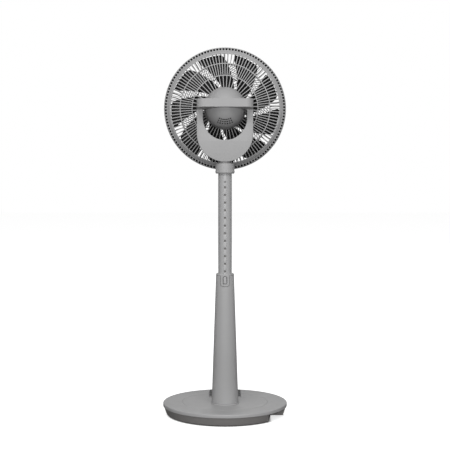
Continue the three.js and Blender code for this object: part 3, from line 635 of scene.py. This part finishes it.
def pole_outline(radius):
    """The tube's outline: round, with a channel open to the rear and a crease either side of it."""
    edge = math.degrees(math.asin(CHANNEL_HALF / radius))
    crease = math.degrees(math.asin(CREASE_X / radius))
    outline = []
    for k in range(POLE_STEPS + 1):
        turn = edge + (360 - 2 * edge) * k / POLE_STEPS
        gap = min(abs(turn - crease), abs(turn - 360 + crease))
        near = radius - CREASE_DEPTH * max(0, 1 - gap / CREASE_HALF_TURN)
        angle = math.radians(turn - 90)
        outline.append((near * math.cos(angle), near * math.sin(angle)))
    inner = radius - POLE_WALL
    inner_edge = math.degrees(math.asin(CHANNEL_HALF / inner))
    return outline + arc(0, 0, inner, 270 - inner_edge, inner_edge - 90, 60)


def make_pole():
    tube = plate(pole_outline(reach("pole", 0)), [], height("pole", 0), height("pole"), "XY")
    finish_piece("pole_tube", *tube, "pole_metal", "pole", ["pole"], MAST, sharp=50, bevel=0.3,
                 bevel_angle=60)


FIRST_HOLE = 621
HOLE_PITCH = 20.64
HOLE_COUNT = 14
HOLE_HALF = 2.75
HOLE_DEPTH, BACKING_WALL = 3.2, 0.6
DIMPLE_HALF, DIMPLE_DEPTH = 1.8, 0.25
DIMPLE_LOW, DIMPLE_HIGH = -8.4, -6.6  # from the level of the hole above it
SCREW_LEVEL = 636
SCREW_HOLE, SCREW_HOLE_DEPTH = 2.7, 3
SCREW_RADIUS, SCREW_FACE, SCREW_BACK = 1.0, 0.6, 1.4


def hole_loop(level):
    low, high = level - HOLE_HALF, level + HOLE_HALF
    return rounded([(-HOLE_HALF, low), (HOLE_HALF, low), (HOLE_HALF, high), (-HOLE_HALF, high)], 0.5, 3)


def make_strip():
    """The strip in the pole's channel: blind height holes, a faint dimple under each, and a small screw."""
    half, low, high = reach("latch_strip", 0), height("latch_strip", 0), height("latch_strip")
    rear, front = forward("latch_strip", 0), forward("latch_strip")
    levels = [FIRST_HOLE - i * HOLE_PITCH for i in range(HOLE_COUNT)]
    outline = [(-half, low), (half, low), (half, high), (-half, high)]
    # painted shade: the backing behind the height holes takes the darker rim_plastic grey for the shade in
    # the holes
    backing = plate(outline, [], rear + HOLE_DEPTH, rear + HOLE_DEPTH + BACKING_WALL)
    finish_piece("strip_backing", *backing, "rim_plastic", "pole", [], MAST)
    screw = lathe(rounded([(0, SCREW_FACE), (SCREW_RADIUS, SCREW_FACE), (SCREW_RADIUS, SCREW_BACK),
                           (0, SCREW_BACK)], {1: 0.3}, 3), 32, "Y")
    screw_place = (0, rear, SCREW_LEVEL)
    finish_piece("strip_screw", *moved(screw, screw_place), "steel", "pole", [], MAST)
    face = plate(outline, [hole_loop(level) for level in levels], rear, front, "XZ", 0.15)
    cuts = [box_shape((-DIMPLE_HALF, DIMPLE_HALF), (rear - 1, rear + DIMPLE_DEPTH),
                      (level + DIMPLE_LOW, level + DIMPLE_HIGH)) for level in levels]
    cuts.append(moved(rod(SCREW_HOLE, -1, SCREW_HOLE_DEPTH, 32, "Y"), screw_place))
    strip = combined(face, ("DIFFERENCE", merged(*cuts)))
    finish_piece("height_strip", *strip, "pole_metal", "pole", ["latch_strip"], MAST)


NECK_BORE, NECK_FOOT, NECK_HIGH = 18.7, 24.0, 686
NECK_STEP, NECK_SHOULDER = 0.7, 24.2
POLE_SEAT = 676.3
STEM_RADIUS, STEM_HIGH = 15, 704  # the stem that the yoke turns on
STEM_TIP, STEM_TIP_HIGH, STEM_BORE = 12, 714, 9.3


def make_neck():
    low, radius = height("neck_collar", 0), reach("neck_collar", 0)
    waist = radius - NECK_STEP
    profile = rounded([
        (NECK_BORE, low), (NECK_FOOT, low), (radius - 0.4, low + 2.6), (radius, low + 4.4),
        (radius, low + 6.6), (waist, low + 7.6), (waist, NECK_HIGH - 1.4), (NECK_SHOULDER, NECK_HIGH),
        (STEM_RADIUS, NECK_HIGH), (STEM_RADIUS, STEM_HIGH), (STEM_TIP, STEM_HIGH),
        (STEM_TIP, STEM_TIP_HIGH), (STEM_BORE, STEM_TIP_HIGH), (STEM_BORE, POLE_SEAT),
        (NECK_BORE, POLE_SEAT),
    ], {1: 0.5, 2: 0.8, 3: 0.3, 4: 0.3, 6: 0.6, 7: 0.6}, 3)
    finish_piece("neck", *lathe(profile, 128), "grey_plastic", "pole", ["neck_collar"], MAST)


# ------------------------------------------------------------------ yoke
YOKE_LOW, YOKE_HIGH = height("yoke_rear_shell", 0), height("yoke_rear_shell")
YOKE_HALF = reach("yoke_rear_shell", 0)
YOKE_REAR = forward("yoke_rear_shell", 0)
COVER_REAR, COVER_FRONT = forward("yoke_front_cover", 0), forward("yoke_front_cover")
OPENING_HALF = 59
OPENING_LOW = 748
COVER_SEAM = 0.3
STEM_HOLE, STEM_HOLE_LOW, STEM_HOLE_HIGH = 16, 680, 702


def yoke_loop(inset):
    """The U outline, drawn in by an inset: round below, with two arms beside the opening."""
    outer, opening, top = YOKE_HALF - inset, OPENING_HALF + inset, YOKE_HIGH - inset
    return [(outer, top), (opening, top), *arc(0, OPENING_LOW + OPENING_HALF, opening, 0, -180, 64),
            (-opening, top), (-outer, top), *arc(0, YOKE_LOW + YOKE_HALF, outer, 180, 360, 72)]


def make_yoke():
    shell = combined(
        plate(yoke_loop(0), [], YOKE_REAR, COVER_REAR - COVER_SEAM, "XZ", 1.3),
        ("DIFFERENCE", plate(yoke_loop(WALL), [], YOKE_REAR + WALL, COVER_REAR + 5)),
        ("DIFFERENCE", moved(rod(STEM_HOLE, 0, STEM_HOLE_HIGH - STEM_HOLE_LOW, 64), (0, 0, STEM_HOLE_LOW))))
    finish_piece("yoke", *shell, "grey_plastic", "yoke", ["yoke_rear_shell"], MAST)
    cover = plate(yoke_loop(0), [], COVER_REAR, COVER_FRONT, "XZ", 0.8)
    finish_piece("yoke_cover", *cover, "grey_plastic", "yoke", ["yoke_front_cover"], MAST)


BAND_CLEAR, BAND_CORNER = 61.5, 20
BAND_RISE = 6  # how far the band's underside rises towards its rear edge


def make_band():
    """The band across the yoke's back: hollowed round the dome, and slanted underneath."""
    half, rear, front = reach("yoke_handle", 0), forward("yoke_handle", 0), forward("yoke_handle")
    low, high = height("yoke_handle", 0), height("yoke_handle")
    bite = math.degrees(math.asin(-front / BAND_CLEAR))
    corner, corner_y = half - BAND_CORNER, rear + BAND_CORNER
    plan = [(half, front), *arc(0, 0, BAND_CLEAR, -bite, -180 + bite, 64), (-half, front),
            *arc(-corner, corner_y, BAND_CORNER, 180, 270, 16),
            *arc(corner, corner_y, BAND_CORNER, 270, 360, 16)]
    band = plate(plan, [], low - 20, high, "XY")
    wide, deep = half + 10, low - 40
    side = [(front + 1, low), (rear - 1, low + BAND_RISE), (rear - 1, deep), (front + 1, deep)]
    corners = [(x, y, z) for x in (-wide, wide) for y, z in side]
    wedge = corners, [(0, 1, 2, 3), (7, 6, 5, 4), (0, 4, 5, 1), (1, 5, 6, 2), (2, 6, 7, 3), (3, 7, 4, 0)]
    finish_piece("yoke_band", *combined(band, ("DIFFERENCE", wedge)), "grey_plastic", "yoke",
                 ["yoke_handle"], MAST, bevel=1.6, bevel_angle=50, segments=4)


# ------------------------------------------------------------------ motor housing
DOME = reach("motor_housing_rear", 0)
DOME_REAR, DOME_FRONT = forward("motor_housing_rear", 0), forward("motor_housing_rear")
DOME_BAND = 8  # the straight stretch in front of the dome's curve
DOME_CENTRE = DOME_FRONT - DOME_BAND
DOME_LENGTH = DOME_CENTRE - DOME_REAR
HOUSING_REAR = forward("motor_housing_front", 0)
SLEEVE = reach("motor_housing_front", 0)
SLEEVE_FACE = 59.7
VENT_ROWS = (34, 39.4, 44.7)
VENT_ANGLES = [math.radians(244.5 + 8.5 * column) for column in range(7)]
VENT_HALF_WIDTH, VENT_HALF_HEIGHT = 1.8, 1.5
VENT_CUT = (-60, -15)  # from behind the dome to inside its wall
VENT_SHADE_INNER, VENT_SHADE_OUTER = 30, 48  # painted shade: a black shell seen through the vents, standing in for the shade inside the dome
VENT_SHADE_GAP, VENT_SHADE_WALL = 0.3, 0.8
SOCKET_HALF, SOCKET_NEAR, SOCKET_FAR = 5.4, 45, 60  # square sockets of the tilt pins
BOSS_RADIUS, BOSS_FACE, BOSS_BORE = 22, 71, 13.4


def dome_arc(inset, steps):
    """The dome's turned outline from its widest turn to its crown: half an ellipse."""
    radius, length = DOME - inset, DOME_LENGTH - inset
    turns = [math.pi / 2 * k / steps for k in range(steps)]
    side = [(radius * math.cos(a), DOME_CENTRE - length * math.sin(a)) for a in turns]
    return [*side, (0, DOME_CENTRE - length)]


def make_dome():
    dome = lathe([*reversed(dome_arc(0, 40)), (DOME, DOME_FRONT - 0.6), (DOME - 0.6, DOME_FRONT),
                  (DOME - WALL, DOME_FRONT), *dome_arc(WALL, 24)], 128, "Y")
    w, h = VENT_HALF_WIDTH, VENT_HALF_HEIGHT
    vent = plate(rounded([(-w, -h), (w, -h), (w, h), (-w, h)], 0.5, 2), [], *VENT_CUT)
    vents = [moved(vent, (radius * math.cos(a), 0, radius * math.sin(a)))
             for radius in VENT_ROWS for a in VENT_ANGLES]
    square = (-SOCKET_HALF, SOCKET_HALF)
    sockets = [box_shape(x, square, square) for x in ((SOCKET_NEAR, SOCKET_FAR), (-SOCKET_FAR, -SOCKET_NEAR))]
    shape = combined(dome, ("DIFFERENCE", merged(*vents)), ("DIFFERENCE", merged(*sockets)))
    finish_piece("motor_dome", *shape, "grey_plastic", "head", ["motor_housing_rear"], HEAD)


def make_vent_shade():
    # painted shade: a black shell just inside the dome, behind the vents
    near = WALL + VENT_SHADE_GAP
    outline = [*dome_arc(near, 40), *reversed(dome_arc(near + VENT_SHADE_WALL, 40))]
    shell = [point for point in outline if VENT_SHADE_INNER < point[0] < VENT_SHADE_OUTER]
    finish_piece("vent_shade", *lathe(shell, 96, "Y"), "rubber", "head", [], HEAD)


def make_sleeve():
    profile = rounded([
        (DOME, HOUSING_REAR), (SLEEVE, SLEEVE_FACE - 2.7), (SLEEVE - 2.6, SLEEVE_FACE),
        (BOSS_RADIUS, SLEEVE_FACE), (BOSS_RADIUS, BOSS_FACE), (BOSS_BORE, BOSS_FACE),
        (BOSS_BORE, SLEEVE_FACE - WALL), (SLEEVE - WALL, SLEEVE_FACE - WALL), (DOME - WALL, HOUSING_REAR),
    ], {0: 0.6, 1: 1.6, 2: 1.6, 4: 0.6, 7: 1}, 5)
    finish_piece("motor_sleeve", *lathe(profile, 128, "Y"), "grey_plastic", "head", ["motor_housing_front"],
                 HEAD)


# ------------------------------------------------------------------ cage
RIB_HALF = 1.1
CAGE_RADIUS = reach("rear_grille", 0)
CAGE_REAR, CAGE_SEAM = forward("rear_grille", 0), forward("rear_grille")
CAGE_FRONT = forward("front_grille")
CAP_RADIUS = reach("front_cap", 0)
RING_INNER, RING_OUTER = 90.4, 123.6  # support rings of the rear grille
PLATE_RADIUS = 57  # closed middle of the rear grille
SLANT_INNER, SLANT_OUTER = 150.9, 159.4  # closed slanted band inside the windows
WINDOW_INNER, WINDOW_OUTER = 161.0, 166.7
SHADE_RING_INNER, SHADE_RING_OUTER = 159.0, 167.3  # painted shade: a black ring seen through the windows, standing in for the shade inside the cage
SHADE_RING_DEPTH = 8


def straight(radius):
    return 0


def sheet_normals(stations):
    normals = []
    last = len(stations) - 1
    for k in range(len(stations)):
        a, b = stations[max(k - 1, 0)], stations[min(k + 1, last)]
        run = Vector((b[0] - a[0], b[1] - a[1])).normalized()
        normals.append((-run.y, run.x))
    return normals


def sheet_points(stations, count, phase, half, lean, thickness):
    """Both sides of the sheet, station by station: two points for each rib, half a rib's width either way."""
    points = []
    for side in (0, 1):
        for (radius, ahead), (out, along) in zip(stations, sheet_normals(stations)):
            r, y = radius + side * thickness * out, ahead + side * thickness * along
            for j in range(count):
                middle = phase + TAU * j / count + lean(radius)
                for sign in (-1, 1):
                    angle = middle + sign * half / radius
                    points.append((r * math.cos(angle), y, r * math.sin(angle)))
    return points


def lattice(stations, solid, count, half, phase=math.pi / 2, lean=straight, thickness=1.0, thinned=(0, 0)):
    """A pierced turned sheet from (radius, forward) stations. solid says which spans are closed all round,
    half is half a rib's width, and inside the radius in thinned only ribs of its parity run."""
    size = 2 * count
    thin_radius, parity = thinned
    cells = []
    for k in range(len(stations) - 1):
        for j in range(count):
            if solid[k] or stations[k + 1][0] > thin_radius or j % 2 == parity:
                cells.append((k, 2 * j))
            if solid[k]:
                cells.append((k, 2 * j + 1))

    def at(side, k, i):
        return (side * len(stations) + k) * size + i % size

    quads = []
    edges = {}
    for k, i in cells:
        loop = [(k, i), (k, i + 1), (k + 1, i + 1), (k + 1, i)]
        quads.append([at(0, *p) for p in loop])
        quads.append([at(1, *p) for p in reversed(loop)])
        for p, q in zip(loop, loop[1:] + loop[:1]):
            key = frozenset(((p[0], p[1] % size), (q[0], q[1] % size)))
            edges.setdefault(key, []).append((p, q))
    for uses in edges.values():
        if len(uses) == 1:
            p, q = uses[0]
            quads.append([at(0, *q), at(0, *p), at(1, *p), at(1, *q)])
    return sheet_points(stations, count, phase, half, lean, thickness), quads


def spans(*runs):
    """Stations along a profile: each run is (start, end, pieces, solid). Returns radii and flags."""
    radii, flags = [runs[0][0]], []
    for start, end, pieces, solid in runs:
        for k in range(1, pieces + 1):
            radii.append(start + (end - start) * k / pieces)
            flags.append(solid)
    return radii, flags


BOWL_INNER, BOWL_OUTER, BOWL_DEPTH = 62, 154, 12  # the rear's curved part, and how far it curves forward
SLANT_END, SLANT_RISE, RIM_RISE = 159, 1.6, 0.4


def rear_forward(r):
    """How far forward the rear grille's outer face lies at a radius."""
    if r < BOWL_INNER:
        return CAGE_REAR
    if r < BOWL_OUTER:
        return CAGE_REAR + BOWL_DEPTH * ((r - BOWL_INNER) / (BOWL_OUTER - BOWL_INNER)) ** 2
    slant_start = CAGE_REAR + BOWL_DEPTH
    if r < SLANT_END:
        return slant_start + (r - BOWL_OUTER) * SLANT_RISE
    return slant_start + (SLANT_END - BOWL_OUTER) * SLANT_RISE + (r - SLANT_END) * RIM_RISE


NECK_HOLE = 22.6  # the hole in the middle of the rear grille
PLATE_EDGE = 4
RIB_COUNT = 104
GRILLE_WALL = 2.4


def make_rear_ribs():
    inner, outer = RING_INNER - RIB_HALF, RING_OUTER - RIB_HALF
    inner_end, outer_end = RING_INNER + RIB_HALF, RING_OUTER + RIB_HALF
    radii, flags = spans(
        (NECK_HOLE, PLATE_RADIUS - PLATE_EDGE, 3, True), (PLATE_RADIUS - PLATE_EDGE, PLATE_RADIUS, 1, True),
        (PLATE_RADIUS, inner, 5, False), (inner, inner_end, 1, True), (inner_end, outer, 5, False),
        (outer, outer_end, 1, True), (outer_end, SLANT_INNER, 5, False), (SLANT_INNER, SLANT_OUTER, 2, True))
    ribs = lattice([(r, rear_forward(r)) for r in radii], flags, RIB_COUNT, RIB_HALF, thickness=GRILLE_WALL,
                   thinned=(RING_INNER, 1))
    finish_piece("rear_grille_ribs", *ribs, "grey_plastic", "head", ["rear_grille"], HEAD, bevel=0.55)


SLOT_COUNT = 120
SLOT_BAR_HALF = 1.55
RIM_WALL = 1.3
SHADE_RING_WALL = 1.2


def make_rear_rim():
    """The slotted band outside the ribs, turned over a round edge into the cage's side."""
    edge = rear_forward(WINDOW_OUTER)
    stations = [(r, rear_forward(r)) for r in (SLANT_OUTER, WINDOW_INNER, WINDOW_OUTER)]
    stations += [(CAGE_RADIUS - 1.0, edge + 1.1), (CAGE_RADIUS - 0.3, edge + 2.2), (CAGE_RADIUS, edge + 3.8),
                 (CAGE_RADIUS, CAGE_SEAM - 0.4), (CAGE_RADIUS - 0.5, CAGE_SEAM)]
    flags = [True, False, True, True, True, True, True]
    rim = lattice(stations, flags, SLOT_COUNT, SLOT_BAR_HALF, thickness=RIM_WALL)
    finish_piece("rear_grille_rim", *rim, "grey_plastic", "head", [], HEAD, bevel=0.35)
    # painted shade: a black ring behind the windows stands in for the shade inside the cage
    low = rear_forward(WINDOW_INNER) + SHADE_RING_DEPTH
    high = low + SHADE_RING_WALL
    shade_ring = [(SHADE_RING_INNER, low), (SHADE_RING_OUTER, low), (SHADE_RING_OUTER, high), (SHADE_RING_INNER, high)]
    finish_piece("cage_shade_ring", *lathe(shade_ring, 128, "Y"), "rubber", "head", [], HEAD)


FRONT_SWELL, FRONT_POWER = 26, 2.6  # how far the front grille curves back, and how suddenly


def front_forward(r):
    """How far forward the front grille's outer face lies at a radius."""
    share = max(r - CAP_RADIUS, 0) / (CAGE_RADIUS - CAP_RADIUS)
    return CAGE_FRONT - FRONT_SWELL * share ** FRONT_POWER


FRONT_HUB_INNER, FRONT_HUB = 8, 46
FRONT_RING_INNER, FRONT_RING, FRONT_RING_HALF = 87.3, 126.5, 1.3
FRONT_RIB_COUNT, FRONT_RIB_HALF = 90, 1.25
FRONT_RIM, FRONT_RIM_EDGE = 7, 2.5
BOW, BOW_CENTRE = 8.4e-5, 147


def front_lean(r):
    """Where a front rib runs: slightly bowed outside its outer ring, and slanted at 45 degrees inside it."""
    outside = max(r, FRONT_RING)
    bow = BOW * ((CAGE_RADIUS - outside) * BOW_CENTRE - (CAGE_RADIUS ** 2 - outside ** 2) / 2)
    return bow + max(0, math.log(FRONT_RING / r))


def make_front_ribs():
    inner, inner_end = FRONT_RING_INNER - FRONT_RING_HALF, FRONT_RING_INNER + FRONT_RING_HALF
    outer, outer_end = FRONT_RING - FRONT_RING_HALF, FRONT_RING + FRONT_RING_HALF
    rim = CAGE_RADIUS - FRONT_RIM
    radii, flags = spans(
        (FRONT_HUB_INNER, FRONT_HUB, 3, True), (FRONT_HUB, inner, 8, False), (inner, inner_end, 1, True),
        (inner_end, outer, 8, False), (outer, outer_end, 1, True), (outer_end, rim, 7, False),
        (rim, CAGE_RADIUS - FRONT_RIM_EDGE, 2, True))
    stations = [(r, front_forward(r)) for r in radii]
    edge = stations[-1][1]
    stations += [(CAGE_RADIUS - 0.8, edge - 1.4), (CAGE_RADIUS, edge - 3.6), (CAGE_RADIUS, CAGE_SEAM + 0.7),
                 (CAGE_RADIUS - 0.5, CAGE_SEAM + 0.3)]
    flags += [True] * 4
    ribs = lattice(stations, flags, FRONT_RIB_COUNT, FRONT_RIB_HALF, phase=0, lean=front_lean,
                   thickness=-GRILLE_WALL, thinned=(FRONT_RING_INNER, 0))
    # painted shade: the front ribs take the darker rim_plastic grey for the shade they sit in inside the cage
    finish_piece("front_grille_ribs", *ribs, "rim_plastic", "head", ["front_grille"], HEAD, bevel=0.5)


CAP_BEVEL, CAP_LINE, CAP_FIELD = 7, 9, 11  # from the cap's edge: its bevel, its fine line and its flat field


def make_front_cap():
    low, high = forward("front_cap", 0), forward("front_cap")
    profile = rounded([
        (0, low), (CAP_RADIUS, low), (CAP_RADIUS, low + 1.2), (CAP_RADIUS - CAP_BEVEL, high - 0.4),
        (CAP_RADIUS - CAP_LINE, high - 0.9), (CAP_RADIUS - CAP_FIELD, high - 0.4), (0, high),
    ], {1: 0.3, 2: 0.9, 3: 0.5, 4: 0.4, 5: 0.5}, 4)
    finish_piece("front_badge", *lathe(profile, 128, "Y"), "rim_plastic", "head", ["front_cap"], HEAD)


# ------------------------------------------------------------------ impeller
BLADE_COUNT = 9
HUB = 42
HUB_REAR = forward("impeller", 0)
HUB_FRONT = 117
HUB_WALL, HUB_BACK = 3, 20
SPINNER_RADIUS, SPINNER_DEPTH, SHAFT_RADIUS = 20, 7, 4.3
BLADE_TIP = 150
BLADE_MIDDLE = 99  # how far forward the middle of a blade lies
BLADE_DEPTH = 32
BLADE_PHASE = math.radians(24.5)
SWEEP, SWEEP_RADIUS = math.radians(27.3), 139
SPAN_HUB, SPAN_TIP = math.radians(35), math.radians(29)
CAMBER = 20
EDGE_HALF, BELLY_HALF = 0.5, 0.8  # half the thickness at the edges, and what the middle adds to it
TIP_ROUND, TIP_TRIM = 12, 0.16  # the outer stretch whose corners are rounded, and the share it loses


def blade_point(turn, out, across, side):
    """A point of a blade: out and across run from 0 to 1, from the root and from one edge."""
    r = HUB - 2 + (BLADE_TIP - HUB + 2) * out
    rounding = max(0, (r - BLADE_TIP + TIP_ROUND) / TIP_ROUND)
    keep = 1 - TIP_TRIM * (1 - math.sqrt(max(0, 1 - rounding ** 2)))
    share = (across - 0.5) * keep
    angle = turn + SWEEP * math.log(r / SWEEP_RADIUS) + share * (SPAN_HUB + (SPAN_TIP - SPAN_HUB) * out)
    half = EDGE_HALF + BELLY_HALF * math.sqrt(max(0, 1 - (2 * across - 1) ** 2))
    ahead = BLADE_MIDDLE - share * BLADE_DEPTH + CAMBER * (0.25 - share * share) + side * half
    return r * math.cos(angle), ahead, r * math.sin(angle)


def blade(turn, across=16, along=26):
    """One swept blade: a helical sheet with a round tip corner, thicker in the middle than at its edges."""
    verts = [blade_point(turn, i / along, j / across, side)
             for side in (-1, 1) for i in range(along + 1) for j in range(across + 1)]
    faces = []
    row = across + 1
    base = (along + 1) * row
    for i in range(along):
        for j in range(across):
            a = i * row + j
            faces.append((a, a + 1, a + row + 1, a + row))
            faces.append((base + a, base + a + row, base + a + row + 1, base + a + 1))
        for j in (0, across):
            a = i * row + j
            faces.append((a, a + row, base + a + row, base + a))
    for i in (0, along):
        for j in range(across):
            a = i * row + j
            faces.append((a, a + 1, base + a + 1, base + a))
    return verts, faces


def make_impeller():
    inside, back, recess = HUB - HUB_WALL, HUB_REAR + HUB_BACK, HUB_FRONT - SPINNER_DEPTH
    hub = lathe(rounded([
        (SHAFT_RADIUS, back), (inside, back), (inside, HUB_REAR), (HUB, HUB_REAR), (HUB, HUB_FRONT),
        (SPINNER_RADIUS, HUB_FRONT), (SPINNER_RADIUS, recess), (SHAFT_RADIUS, recess),
    ], {3: 0.8, 4: 6, 5: 1}, 5), 96, "Y")
    blades = [blade(BLADE_PHASE + TAU * k / BLADE_COUNT) for k in range(BLADE_COUNT)]
    finish_piece("impeller_blades", *merged(hub, *blades), "black_plastic", "impeller", ["impeller"], HEAD,
                 sharp=50)


# ------------------------------------------------------------------ everything
make_base()
make_skirt()
make_console()
make_column()
make_button()
make_pole()
make_strip()
make_neck()
make_yoke()
make_band()
make_dome()
make_vent_shade()
make_sleeve()
make_rear_ribs()
make_rear_rim()
make_front_ribs()
make_front_cap()
make_impeller()

SLOT_OF = {row["node"]: row["material_slot"] for row in frame["record"]["subparts"]}
CAD_EDGE = 0.25


def dress_cad_node(node, thing):
    """A CAD node that no finer piece replaces: its slot's material and a small edge radius."""
    thing.data.materials.clear()
    thing.data.materials.append(MATERIALS[SLOT_OF[node]])
    for polygon in thing.data.polygons:
        polygon.use_smooth = True
    add_bevel(thing, CAD_EDGE, 40, 2)


for node, thing in frame["nodes"].items():
    if not thing.hide_render:
        dress_cad_node(node, thing)
